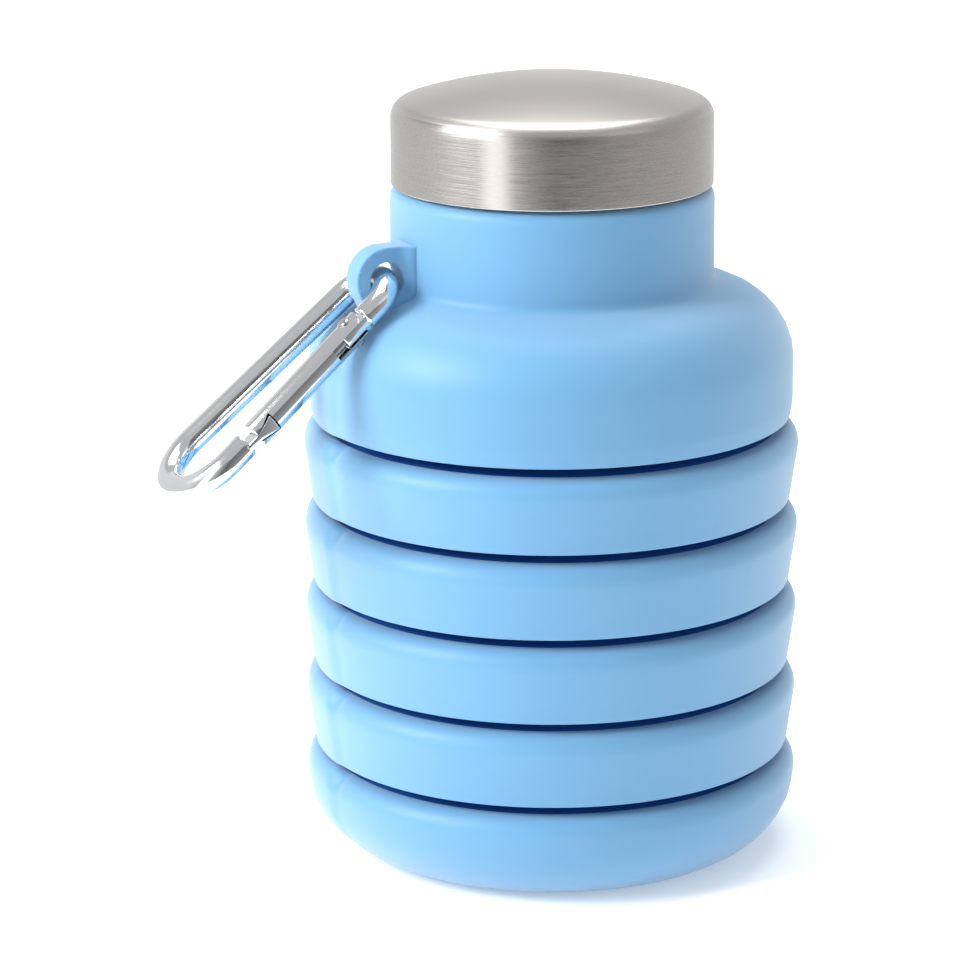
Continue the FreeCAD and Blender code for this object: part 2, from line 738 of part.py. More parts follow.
def nose_corners(gap):
    """The nose's side view, narrow at the rod and wide at its end, grown all round by a gap."""
    neck = f"dims.nose_neck_width / 2 + {gap}"
    head = f"dims.nose_head_width / 2 + {gap}"
    tip = f"dims.nose_head_start - {gap}"
    root = "dims.nose_reach + dims.root_sink"
    return [
        (tip, f"-({head})"),
        ("dims.nose_head_end", f"-({neck})"),
        (root, f"-({neck})"),
        (root, neck),
        ("dims.nose_head_end", neck),
        (tip, head),
    ]


def make_carabiner_frame():
    """The bent rod with its hinge tang at one end and the hooked nose at the other."""
    body = new_body("carabiner_frame")
    profile = new_sketch(body, "rod_section")
    circle(profile, "dims.loop_start", "0", "dims.rod_radius", "rod")
    for name, path in (("short_way", short_path(body)), ("long_way", long_path(body))):
        pipe = body.newObject("PartDesign::AdditivePipe", name)
        pipe.Profile = profile
        pipe.Spine = path
        doc.recompute()
    tang = new_sketch(body, "tang_outline", "XY_Plane")
    on_gate_leg(tang, upright=False)
    low, high = "-dims.tang_half_height", "dims.tang_half_height"
    back = "-dims.tang_gap - dims.root_sink"
    outline(tang, [(back, low), ("dims.tang_end", low), ("dims.tang_end", high), (back, high)])
    circle(tang, "0", "0", "dims.pin_radius + dims.pin_clearance", "pin")
    slab(body, tang, "tang", "dims.tang_thick")
    nose = new_sketch(body, "nose_outline")
    on_gate_leg(nose, upright=True)
    outline(nose, nose_corners("0"))
    two_sided(body, nose, "nose", "dims.nose_outer", "dims.nose_inner")
    body.Placement = hang_placement()
    return body


def draw_ear_trim(sketch):
    """What is cut from the fork's end to leave ears that are round about the pin."""
    radius = number("dims.gate_radius")
    far, wide = -number("dims.ear_trim_back"), number("dims.ear_trim_half")
    points = [Vector(0, radius, 0), Vector(0, wide, 0), Vector(far, wide, 0)]
    points += [Vector(point.x, -point.y, 0) for point in reversed(points)]
    for first, second in zip(points, points[1:]):
        sketch.addGeometry(Part.LineSegment(first, second))
    arc = sketch.addGeometry(arc_of(Vector(), radius, math.pi / 2, math.pi * 1.5))
    for side in range(4):
        sketch.addConstraint(Sketcher.Constraint("Coincident", side, 2, side + 1, 1))
    sketch.addConstraint(Sketcher.Constraint("Coincident", arc, 1, 0, 1))
    sketch.addConstraint(Sketcher.Constraint("Coincident", arc, 2, 4, 2))
    sketch.addConstraint(Sketcher.Constraint("Coincident", arc, 3, -1, 1))
    bind(sketch, "ear_radius", "dims.gate_radius", "Radius", arc)
    sketch.addConstraint(Sketcher.Constraint("PointOnObject", 0, 1, -2))
    sketch.addConstraint(Sketcher.Constraint("PointOnObject", 4, 2, -2))
    place_vertex(sketch, 1, 1, "0", "dims.ear_trim_half", "upper")
    place_vertex(sketch, 2, 1, "-dims.ear_trim_back", "dims.ear_trim_half", "back")
    place_vertex(sketch, 3, 1, "-dims.ear_trim_back", "-dims.ear_trim_half", "front")
    place_vertex(sketch, 4, 1, "0", "-dims.ear_trim_half", "lower")


def make_carabiner_gate():
    """The sprung gate: forked round the tang, bored for its spring and notched for the nose."""
    body = new_body("carabiner_gate")
    rod = new_sketch(body, "gate_section", "YZ_Plane", "-dims.gate_radius")
    circle(rod, "0", "0", "dims.gate_radius", "gate")
    bar = body.newObject("PartDesign::Pad", "gate_bar")
    bar.Profile = rod
    bar.setExpression("Length", "dims.gate_radius + dims.gate_length")
    doc.recompute()

    ears = new_sketch(body, "ear_outline", "XY_Plane")
    draw_ear_trim(ears)
    slab(body, ears, "ear_trim", "dims.through_cut", cut=True)
    slot = new_sketch(body, "fork_outline")
    low, high = "-dims.fork_slot / 2", "dims.fork_slot / 2"
    back = "-2 * dims.gate_radius"
    outline(slot, [(back, low), ("dims.fork_depth", low), ("dims.fork_depth", high), (back, high)])
    slab(body, slot, "fork", "dims.through_cut", cut=True)
    seats = new_sketch(body, "pin_seat_section")
    hole = "dims.pin_radius + dims.fit_gap"
    rim = "dims.pin_head_radius + dims.pin_head_gap"
    far = "2 * dims.gate_radius"
    corners = [
        ("0", f"-{far}"),
        (rim, f"-{far}"),
        (rim, "-dims.pin_seat"),
        (hole, "-dims.pin_seat"),
        (hole, "dims.pin_seat"),
        (rim, "dims.pin_seat"),
        (rim, far),
        ("0", far),
    ]
    outline(seats, corners)
    revolve(body, seats, "pin_seats", cut=True)
    bore = new_sketch(body, "spring_bore_section")
    start, end = "dims.fork_depth - dims.root_sink", "dims.fork_depth + dims.bore_depth"
    outline(bore, [(start, "0"), (end, "0"), (end, "dims.bore_radius"), (start, "dims.bore_radius")])
    revolve(body, bore, "spring_bore", axis="H_Axis", cut=True)
    notch = new_sketch(body, "notch_outline")
    outline(notch, nose_corners("dims.nose_clearance"))
    depth = "dims.nose_inner + dims.nose_clearance"
    two_sided(body, notch, "nose_notch", "dims.through_cut", depth, cut=True)
    body.Placement = gate_placement()
    return body


def make_gate_pin():
    """The rivet that the gate swings on, with a domed head at each end."""
    seat, tip = "dims.pin_seat", "(dims.pin_seat + dims.pin_head)"
    body = lathe(
        "gate_pin",
        [
            ("0", f"-{tip}"),
            ("dims.pin_head_radius", f"-{tip}", "dims.pin_head_round"),
            ("dims.pin_head_radius", f"-{seat}"),
            ("dims.pin_radius", f"-{seat}"),
            ("dims.pin_radius", seat),
            ("dims.pin_head_radius", seat),
            ("dims.pin_head_radius", tip, "dims.pin_head_round"),
            ("0", tip),
        ],
    )
    body.Placement = gate_placement()
    return body


def make_gate_plunger():
    """The little piston that the spring pushes against the tang's end."""
    start = "dims.tang_end + dims.plunger_clearance"
    head_end = f"{start} + dims.plunger_head"
    stem_end = f"{head_end} + dims.plunger_stem"
    body = new_body("gate_plunger")
    sketch = new_sketch(body, "gate_plunger_section")
    corners = [
        (start, "0"),
        (stem_end, "0"),
        (stem_end, "dims.plunger_stem_radius"),
        (head_end, "dims.plunger_stem_radius"),
        (head_end, "dims.plunger_radius"),
        (start, "dims.plunger_radius"),
    ]
    outline(sketch, corners)
    revolve(body, sketch, "gate_plunger_turn", axis="H_Axis")
    body.Placement = gate_placement()
    return body


def make_gate_spring():
    """The compression spring between the plunger's head and the end of its bore."""
    start = "dims.tang_end + dims.plunger_clearance + dims.plunger_head + 2 * dims.spring_wire"
    length = f"(dims.fork_depth + dims.bore_depth - 2 * dims.spring_wire - ({start}))"
    body = new_body("gate_spring")
    sketch = new_sketch(body, "wire_section", "XY_Plane")
    circle(sketch, start, "dims.spring_radius", "dims.spring_wire", "wire")
    wind(body, sketch, "gate_spring_coil", "H_Axis", f"{length} / dims.spring_turns", "dims.spring_turns")
    body.Placement = gate_placement()
    return body


# ---- the whole bottle ---------------------------------------------------------------------


def make_all():
    """Every sub-part of the bottle, from the base up."""
    bands = range(1, int(number("dims.band_count")) + 1)
    parts = [make_base_cup()]
    parts += [make_band(index) for index in bands]
    parts += [make_fold_web(index) for index in range(1, len(bands) + 2)]
    parts += [make_shoulder_neck(), make_neck_collar()]
    parts += [make_cap_shell(), make_cap_liner(), make_cap_gasket()]
    parts += [make_carabiner_frame(), make_carabiner_gate()]
    parts += [make_gate_pin(), make_gate_plunger(), make_gate_spring()]
    return parts


def export(parts):
    """Checks the document and every sub-part, then writes one file for each."""
    doc.recompute()
    bad = [item.Name for item in doc.Objects if "Invalid" in item.State or "Error" in item.State]
    if bad:
        raise RuntimeError(f"failed features: {bad}")
    os.makedirs("parts", exist_ok=True)
    for part in parts:
        shape = part.Shape
        if shape.isNull() or not shape.isValid() or len(shape.Solids) != 1:
            raise RuntimeError(f"{part.Label} is not one valid solid")
    for part in parts:
        part.Shape.exportStep(f"parts/{part.Label}.step")
        print(f"{part.Label}: {part.Shape.Volume:.1f} cubic mm")


export(make_all())
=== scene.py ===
"""A folded silicone water bottle: its looks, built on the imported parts."""

import json
import logging
import math
from dataclasses import dataclass
from enum import Enum

import bmesh
import bpy
from mathutils import Matrix, Vector


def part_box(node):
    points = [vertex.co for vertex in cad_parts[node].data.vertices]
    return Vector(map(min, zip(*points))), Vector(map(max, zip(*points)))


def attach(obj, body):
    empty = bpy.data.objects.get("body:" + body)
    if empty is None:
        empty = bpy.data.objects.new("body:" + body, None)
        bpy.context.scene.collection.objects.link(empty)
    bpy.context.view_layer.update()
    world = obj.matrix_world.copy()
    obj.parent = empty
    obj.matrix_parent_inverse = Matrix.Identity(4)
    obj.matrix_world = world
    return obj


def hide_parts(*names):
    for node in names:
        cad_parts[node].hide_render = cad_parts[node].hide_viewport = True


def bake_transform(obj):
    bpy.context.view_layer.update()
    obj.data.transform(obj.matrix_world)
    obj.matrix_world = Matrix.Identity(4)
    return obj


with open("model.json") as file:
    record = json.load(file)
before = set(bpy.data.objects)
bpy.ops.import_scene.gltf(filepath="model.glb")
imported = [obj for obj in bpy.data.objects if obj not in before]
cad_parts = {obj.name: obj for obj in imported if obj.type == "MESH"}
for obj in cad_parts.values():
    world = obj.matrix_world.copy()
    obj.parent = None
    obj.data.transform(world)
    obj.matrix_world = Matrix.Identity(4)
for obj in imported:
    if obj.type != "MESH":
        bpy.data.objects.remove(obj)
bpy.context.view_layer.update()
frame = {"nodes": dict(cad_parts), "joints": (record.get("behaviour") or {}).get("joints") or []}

log = logging.getLogger("folding_bottle")

MM = 0.001
UP = Vector((0.0, 0.0, 1.0))


# ---- small tools --------------------------------------------------------------------------


def linear(hex_colour: str) -> tuple[float, float, float, float]:
    """Turns an sRGB hex colour into linear values.

    Args:
        hex_colour: Six hex digits, such as "a1b2c3".

    Returns:
        Red, green, blue and an alpha of 1.
    """
    channels = (int(hex_colour[start : start + 2], 16) / 255 for start in (0, 2, 4))
    values = (c / 12.92 if c <= 0.04045 else ((c + 0.055) / 1.055) ** 2.4 for c in channels)
    return (*values, 1.0)


def add_node(
    tree: bpy.types.NodeTree, kind: str, settings: dict | None = None, sockets: dict | None = None
) -> bpy.types.Node:
    """Adds a node with its settings, its sockets' values and its links.

    Args:
        tree: The node tree that it goes into.
        kind: The node's type.
        settings: The node's own properties by name.
        sockets: Input sockets by name or number; a value is set and an output is linked.

    Returns:
        The new node.
    """
    node = tree.nodes.new(kind)
    for name, value in (settings or {}).items():
        setattr(node, name, value)
    for name, value in (sockets or {}).items():
        if isinstance(value, bpy.types.NodeSocket):
            tree.links.new(value, node.inputs[name])
        else:
            node.inputs[name].default_value = value
    return node


def smooth(value: float, low: float, high: float) -> float:
    """Rises smoothly from 0 at low to 1 at high.

    Args:
        value: Where to read the curve.
        low: Where it leaves 0.
        high: Where it reaches 1.

    Returns:
        A number from 0 to 1.
    """
    share = min(max((value - low) / (high - low), 0.0), 1.0)
    return share * share * (3 - 2 * share)


def node_box(name: str) -> tuple[Vector, Vector]:
    """A CAD node's lowest and highest corners in millimetres.

    Args:
        name: The node's name.

    Returns:
        The two corners.
    """
    low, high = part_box(name)
    return Vector(low) / MM, Vector(high) / MM


def finished(
    bm: bmesh.types.BMesh, name: str, finishes: list, place: Matrix | None = None
) -> bpy.types.Object:
    """Turns a bmesh drawn in millimetres into an object in metres with its finishes.

    Args:
        bm: The mesh, which is freed.
        name: The piece's name.
        finishes: Its finishes, one for each material number that its faces use.
        place: Where the piece's own drawing frame stands, in millimetres.

    Returns:
        The new object, at the origin.
    """
    bmesh.ops.transform(bm, matrix=Matrix.Scale(MM, 4) @ (place or Matrix()), verts=bm.verts)
    for face in bm.faces:
        face.smooth = True
    mesh = bpy.data.meshes.new(name)
    bm.to_mesh(mesh)
    bm.free()
    for finish in finishes:
        mesh.materials.append(finish.material())
    piece = bpy.data.objects.new(name, mesh)
    bpy.context.scene.collection.objects.link(piece)
    return piece


def baked(piece: bpy.types.Object) -> bpy.types.Object:
    """Applies a piece's modifiers to its mesh.

    Args:
        piece: The piece.

    Returns:
        The same piece, with no modifiers left.
    """
    bpy.context.view_layer.update()
    seen = piece.evaluated_get(bpy.context.evaluated_depsgraph_get())
    mesh = bpy.data.meshes.new_from_object(seen)
    old = piece.data
    piece.modifiers.clear()
    piece.data = mesh
    mesh.name = old.name
    bpy.data.meshes.remove(old)
    return piece


def join(bm: bmesh.types.BMesh, extra: bmesh.types.BMesh, place: Matrix) -> None:
    """Adds one mesh to another.

    Args:
        bm: The mesh that grows.
        extra: The mesh that is added, and freed.
        place: Where it goes in the first one's frame.
    """
    bmesh.ops.transform(extra, matrix=place, verts=extra.verts)
    spare = bpy.data.meshes.new("spare")
    extra.to_mesh(spare)
    extra.free()
    bm.from_mesh(spare)
    bpy.data.meshes.remove(spare)


def verts_of(items: list) -> list:
    """The vertices among what a mesh operator hands back."""
    return [item for item in items if isinstance(item, bmesh.types.BMVert)]


def round_edges(
    bm: bmesh.types.BMesh, edges: list, radius: float, segments: int = 3, clamp: bool = False
) -> None:
    """Rounds some of a mesh's edges.

    Args:
        bm: The mesh.
        edges: The edges.
        radius: The round's radius.
        segments: How many flats make it up.
        clamp: Whether it stops short where there is too little room.
    """
    bmesh.ops.bevel(
        bm,
        geom=edges,
        offset=radius,
        segments=segments,
        profile=0.5,
        affect="EDGES",
        material=-1,
        clamp_overlap=clamp,
    )


def thicken(bm: bmesh.types.BMesh, normal: Vector, thickness: float) -> None:
    """Turns a flat sheet of faces into a plate with its middle where the sheet was.

    Args:
        bm: The mesh.
        normal: The direction across the sheet.
        thickness: The plate's thickness.
    """
    far_side = bmesh.ops.extrude_face_region(bm, geom=list(bm.faces), use_keep_orig=True)
    moved = verts_of(far_side["geom"])
    bmesh.ops.translate(bm, verts=bm.verts, vec=normal * (-thickness / 2))
    bmesh.ops.translate(bm, verts=moved, vec=normal * thickness)
    bmesh.ops.recalc_face_normals(bm, faces=bm.faces)


@dataclass(frozen=True)
class Corner:
    """A corner of a drawn section, in millimetres, with the radius that rounds it."""

    across: float
    along: float
    radius: float = 0.0


def section(bm: bmesh.types.BMesh, corners: list[Corner], closed: bool, grain: float) -> None:
    """Draws a rounded section in the XZ plane and divides its long sides.

    Args:
        bm: The mesh that takes the section's edges.
        corners: The section's corners in order.
        closed: Whether the last corner joins the first one.
        grain: The longest that an edge may stay, in millimetres.
    """
    verts = [bm.verts.new((corner.across, 0, corner.along)) for corner in corners]
    pairs = list(zip(verts, verts[1:]))
    if closed:
        pairs.append((verts[-1], verts[0]))
    for pair in pairs:
        bm.edges.new(pair)
    turns = []
    for vert, corner in zip(verts, corners):
        if corner.radius:
            first, second = (edge.other_vert(vert).co - vert.co for edge in vert.link_edges)
            turn = math.pi - first.angle(second)
            turns.append((vert, corner.radius * math.tan(turn / 2), max(3, round(turn * 5))))
    for vert, offset, segments in turns:
        bmesh.ops.bevel(
            bm,
            geom=[vert],
            offset=offset,
            offset_type="OFFSET",
            segments=segments,
            profile=0.5,
            affect="VERTICES",
            material=-1,
        )
    for edge in list(bm.edges):
        cuts = math.ceil(edge.calc_length() / grain) - 1
        if cuts > 0:
            bmesh.ops.subdivide_edges(bm, edges=[edge], cuts=cuts)


def lathe(
    corners: list[Corner], closed: bool = True, steps: int = 480, grain: float = 1.3
) -> bmesh.types.BMesh:
    """Turns a section about Z.

    Args:
        corners: The section's corners.
        closed: False where the section starts and ends on the axis.
        steps: How many sides the round has.
        grain: The longest edge along the section, in millimetres.

    Returns:
        The turned mesh, its faces pointing outwards.
    """
    bm = bmesh.new()
    section(bm, corners, closed, grain)
    doublings = 4
    sector = math.tau / 2**doublings
    bmesh.ops.spin(
        bm,
        geom=[*bm.verts, *bm.edges],
        cent=(0, 0, 0),
        axis=UP,
        angle=sector,
        steps=steps // 2**doublings,
        use_merge=False,
        use_duplicate=False,
    )
    for doubling in range(doublings):
        copy = bmesh.ops.duplicate(bm, geom=[*bm.verts, *bm.edges, *bm.faces])["geom"]
        fresh = verts_of(copy)
        turn = Matrix.Rotation(sector * 2**doubling, 3, "Z")
        bmesh.ops.rotate(bm, verts=fresh, cent=(0, 0, 0), matrix=turn)
    bmesh.ops.remove_doubles(bm, verts=bm.verts, dist=1e-4)
    bmesh.ops.recalc_face_normals(bm, faces=bm.faces)
    return bm


# ---- finishes -----------------------------------------------------------------------------


def new_material(
    name: str,
) -> tuple[bpy.types.Material, bpy.types.NodeTree, bpy.types.Node, bpy.types.NodeSocket]:
    """Makes a material whose surface is one Principled shader.

    Args:
        name: The material's name.

    Returns:
        The material, its tree, the shader, and the piece's own coordinates.
    """
    material = bpy.data.materials.new(name)
    material.use_nodes = True
    tree = material.node_tree
    tree.nodes.clear()
    shader = add_node(tree, "ShaderNodeBsdfPrincipled")
    add_node(tree, "ShaderNodeOutputMaterial", sockets={"Surface": shader.outputs["BSDF"]})
    place = add_node(tree, "ShaderNodeTexCoord").outputs["Object"]
    return material, tree, shader, place


def vary_gloss(
    tree: bpy.types.NodeTree,
    shader: bpy.types.Node,
    pattern: bpy.types.Node,
    limits: tuple[float, float],
    spread: tuple[float, float] = (0.0, 1.0),
) -> None:
    """Lets a pattern move the roughness.

    Args:
        tree: The material's tree.
        shader: Its Principled shader.
        pattern: The noise that moves it.
        limits: The lowest and the highest roughness.
        spread: The pattern's values that give them.
    """
    sockets = {"From Min": spread[0], "From Max": spread[1], "To Min": limits[0], "To Max": limits[1]}
    gloss = add_node(tree, "ShaderNodeMapRange", sockets={"Value": pattern.outputs["Fac"], **sockets})
    tree.links.new(gloss.outputs["Result"], shader.inputs["Roughness"])


def raise_relief(
    tree: bpy.types.NodeTree, shader: bpy.types.Node, pattern: bpy.types.Node, strength: float, depth: float
) -> None:
    """Lets a pattern stand out of the surface.

    Args:
        tree: The material's tree.
        shader: Its Principled shader.
        pattern: The noise that stands out.
        strength: How strongly it shows.
        depth: Its depth in millimetres.
    """
    sockets = {"Height": pattern.outputs["Fac"], "Strength": strength, "Distance": depth * MM}
    bump = add_node(tree, "ShaderNodeBump", sockets=sockets)
    tree.links.new(bump.outputs["Normal"], shader.inputs["Normal"])


class Finish:
    """What a surface is made of and how it was made; each kind sets up its own shader."""

    name: str

    def material(self) -> bpy.types.Material:
        """Builds the material once and hands it out again afterwards."""
        found = bpy.data.materials.get(self.name)
        if found:
            return found
        material, tree, shader, place = new_material(self.name)
        self.lay(tree, shader, place)
        return material

    def lay(self, tree: bpy.types.NodeTree, shader: bpy.types.Node, place: bpy.types.NodeSocket) -> None:
        """Sets the shader's values and patterns.

        Args:
            tree: The material's tree.
            shader: Its Principled shader.
            place: The piece's own coordinates.
        """
        raise NotImplementedError(self.name)


@dataclass(frozen=True)
class MouldedSilicone(Finish):
    """Liquid silicone rubber from a fine-blasted mould: soft light in its skin, a dry satin gloss."""

    name: str = "silicone_satin_moulded"
    colour: str = "66a1c9"
    shade: str = "609cc6"
    roughness: float = 0.46
    sheen: float = 0.42
    blast_mm: float = 0.12
    cloud_mm: float = 14.0

    def lay(self, tree: bpy.types.NodeTree, shader: bpy.types.Node, place: bpy.types.NodeSocket) -> None:
        """A faintly clouded colour, a fine blasted skin and the bloom of its sheen.

        Args:
            tree: The material's tree.
            shader: Its Principled shader.
            place: The piece's own coordinates.
        """
        cloud = add_node(
            tree,
            "ShaderNodeTexNoise",
            sockets={"Vector": place, "Scale": 1 / (self.cloud_mm * MM), "Detail": 3.0},
        )
        tint = add_node(
            tree,
            "ShaderNodeMix",
            {"data_type": "RGBA"},
            {"Factor": cloud.outputs["Fac"], 6: linear(self.colour), 7: linear(self.shade)},
        )
        tree.links.new(tint.outputs[2], shader.inputs["Base Color"])
        limits = (self.roughness - 0.04, self.roughness + 0.04)
        vary_gloss(tree, shader, cloud, limits)
        # the blasted skin is finer than this in life; it is drawn as coarse as it needs to show
        blast = add_node(
            tree,
            "ShaderNodeTexNoise",
            sockets={"Vector": place, "Scale": 1 / (self.blast_mm * MM), "Detail": 2.0},
        )
        raise_relief(tree, shader, blast, 0.06, 0.02)
        shader.inputs["IOR"].default_value = 1.41
        shader.inputs["Subsurface Weight"].default_value = 0.25
        shader.inputs["Subsurface Radius"].default_value = (0.4, 0.7, 1.0)
        shader.inputs["Subsurface Scale"].default_value = 1.6 * MM
        shader.inputs["Sheen Weight"].default_value = self.sheen
        shader.inputs["Sheen Roughness"].default_value = 0.6


class Brushing(Enum):
    """How a steel surface was ground."""

    ROUND = "ground round the axis"
    SATIN = "fine satin, no direction"
    NONE = "polished"


@dataclass(frozen=True)
class StainlessSteel(Finish):
    """Drawn stainless steel sheet: a warm grey that streaks the light across its grinding."""

    name: str
    brushing: Brushing
    colour: str = "c9c6c1"
    roughness: float = 0.3
    line_mm: float = 0.16
    streak_mm: float = 9.0
    stretch: float = 0.65

    def lay(self, tree: bpy.types.NodeTree, shader: bpy.types.Node, place: bpy.types.NodeSocket) -> None:
        """The metal, and the pattern that its grinding left.

        Args:
            tree: The material's tree.
            shader: Its Principled shader.
            place: The piece's own coordinates.
        """
        shader.inputs["Base Color"].default_value = linear(self.colour)
        shader.inputs["Metallic"].default_value = 1.0
        shader.inputs["Roughness"].default_value = self.roughness
        if self.brushing is Brushing.ROUND:
            self.grind(tree, shader, place)
        elif self.brushing is Brushing.SATIN:
            self.blast(tree, shader, place)

    def grind(self, tree: bpy.types.NodeTree, shader: bpy.types.Node, place: bpy.types.NodeSocket) -> None:
        """Long fine lines round Z that stretch each highlight up and down.

        Args:
            tree: The material's tree.
            shader: Its Principled shader.
            place: The piece's own coordinates.
        """
        parts = add_node(tree, "ShaderNodeSeparateXYZ", sockets={0: place})
        turn = add_node(
            tree, "ShaderNodeMath", {"operation": "ARCTAN2"}, {0: parts.outputs["Y"], 1: parts.outputs["X"]}
        )
        # the angle times the cap's 25 mm radius is the way round
        round_way = add_node(
            tree, "ShaderNodeMath", {"operation": "MULTIPLY"}, {0: turn.outputs[0], 1: 25 / self.streak_mm}
        )
        up_way = add_node(
            tree,
            "ShaderNodeMath",
            {"operation": "MULTIPLY"},
            {0: parts.outputs["Z"], 1: 1 / (self.line_mm * MM)},
        )
        way = add_node(
            tree, "ShaderNodeCombineXYZ", sockets={"X": round_way.outputs[0], "Y": up_way.outputs[0]}
        )
        lines = add_node(
            tree, "ShaderNodeTexNoise", sockets={"Vector": way.outputs[0], "Scale": 1.0, "Detail": 4.0}
        )
        limits = (self.roughness - 0.07, self.roughness + 0.09)
        vary_gloss(tree, shader, lines, limits, (0.3, 0.7))
        raise_relief(tree, shader, lines, 0.22, 0.012)
        shader.inputs["Anisotropic"].default_value = self.stretch
        shader.inputs["Anisotropic Rotation"].default_value = 0.25
        way_round = add_node(tree, "ShaderNodeTangent", {"direction_type": "RADIAL", "axis": "Z"})
        tree.links.new(way_round.outputs[0], shader.inputs["Tangent"])

    def blast(self, tree: bpy.types.NodeTree, shader: bpy.types.Node, place: bpy.types.NodeSocket) -> None:
        """A fine even satin with faint straight drawing lines.

        Args:
            tree: The material's tree.
            shader: Its Principled shader.
            place: The piece's own coordinates.
        """
        stretch = add_node(
            tree, "ShaderNodeMapping", sockets={"Vector": place, "Scale": (1 / (6 * MM), 1 / (0.2 * MM), 1.0)}
        )
        grain = add_node(
            tree, "ShaderNodeTexNoise", sockets={"Vector": stretch.outputs[0], "Scale": 1.0, "Detail": 3.0}
        )
        limits = (self.roughness - 0.04, self.roughness + 0.05)
        vary_gloss(tree, shader, grain, limits)
        raise_relief(tree, shader, grain, 0.1, 0.006)


@dataclass(frozen=True)
class PolishedAluminium(Finish):
    """Tumble-polished aluminium wire: near-white, with a little waviness that breaks up reflections."""

    name: str = "aluminium_polished_wire"
    colour: str = "f1f2f4"
    roughness: float = 0.09
    wave_mm: float = 2.4
    scuff_mm: float = 0.35

    def lay(self, tree: bpy.types.NodeTree, shader: bpy.types.Node, place: bpy.types.NodeSocket) -> None:
        """Fine scuffs in the gloss and a slow waviness in the surface.

        Args:
            tree: The material's tree.
            shader: Its Principled shader.
            place: The piece's own coordinates.
        """
        shader.inputs["Base Color"].default_value = linear(self.colour)
        shader.inputs["Metallic"].default_value = 1.0
        scuff = add_node(
            tree,
            "ShaderNodeTexNoise",
            sockets={"Vector": place, "Scale": 1 / (self.scuff_mm * MM), "Detail": 3.0},
        )
        limits = (self.roughness - 0.03, self.roughness + 0.08)
        vary_gloss(tree, shader, scuff, limits)
        wave = add_node(
            tree,
            "ShaderNodeTexNoise",
            sockets={"Vector": place, "Scale": 1 / (self.wave_mm * MM), "Detail": 1.0},
        )
        raise_relief(tree, shader, wave, 0.25, 0.06)


@dataclass(frozen=True)
class MouldedPlastic(Finish):
    """Injection-moulded polypropylene, or clear-white silicone for the gasket: waxy and a little milky."""

    name: str
    colour: str = "eceeef"
    roughness: float = 0.42
    milk: float = 0.2
    grain_mm: float = 0.3

    def lay(self, tree: bpy.types.NodeTree, shader: bpy.types.Node, place: bpy.types.NodeSocket) -> None:
        """A milky body with an even, slightly varied gloss.

        Args:
            tree: The material's tree.
            shader: Its Principled shader.
            place: The piece's own coordinates.
        """
        shader.inputs["Base Color"].default_value = linear(self.colour)
        shader.inputs["IOR"].default_value = 1.49
        shader.inputs["Subsurface Weight"].default_value = self.milk
        shader.inputs["Subsurface Radius"].default_value = (1.0, 0.9, 0.8)
        shader.inputs["Subsurface Scale"].default_value = 1.2 * MM
        grain = add_node(
            tree,
            "ShaderNodeTexNoise",
            sockets={"Vector": place, "Scale": 1 / (self.grain_mm * MM), "Detail": 2.0},
        )
        limits = (self.roughness - 0.05, self.roughness + 0.05)
        vary_gloss(tree, shader, grain, limits)


SILICONE = MouldedSilicone()
# a deeper blue than the skin, with no sheen: painted shade, so that the folded slits are dark; the webs are
# the skin's own silicone, and pulled out, the walls show this painted-dark colour
SLIT_SHADE_SILICONE = MouldedSilicone("silicone_painted_slit_shade", colour="2a6cb8", shade="2567b2", sheen=0.0)
CAP_SIDE = StainlessSteel("steel_brushed_side", Brushing.ROUND, roughness=0.27)
CAP_DOME = StainlessSteel("steel_satin_dome", Brushing.SATIN, roughness=0.34)
CAP_LIP = StainlessSteel("steel_polished_lip", Brushing.NONE, roughness=0.12)
PIN_STEEL = StainlessSteel("steel_turned_pin", Brushing.NONE, roughness=0.16)
ALUMINIUM = PolishedAluminium()
COLLAR_PLASTIC = MouldedPlastic("polypropylene_moulded_collar")
LINER_PLASTIC = MouldedPlastic("polypropylene_moulded_liner", colour="e6e8ea")
GASKET_SILICONE = MouldedPlastic("silicone_moulded_gasket", colour="dfe5e8", milk=0.45)


def dress(node: str, finish: Finish) -> None:
    """Gives a CAD node that stays as it is its finish.

    Args:
        node: The node's name.
        finish: Its finish.
    """
    mesh = frame["nodes"][node].data
    mesh.materials.clear()
    mesh.materials.append(finish.material())
    log.info("%s dressed as %s", node, finish.name)


# ---- the silicone body --------------------------------------------------------------------


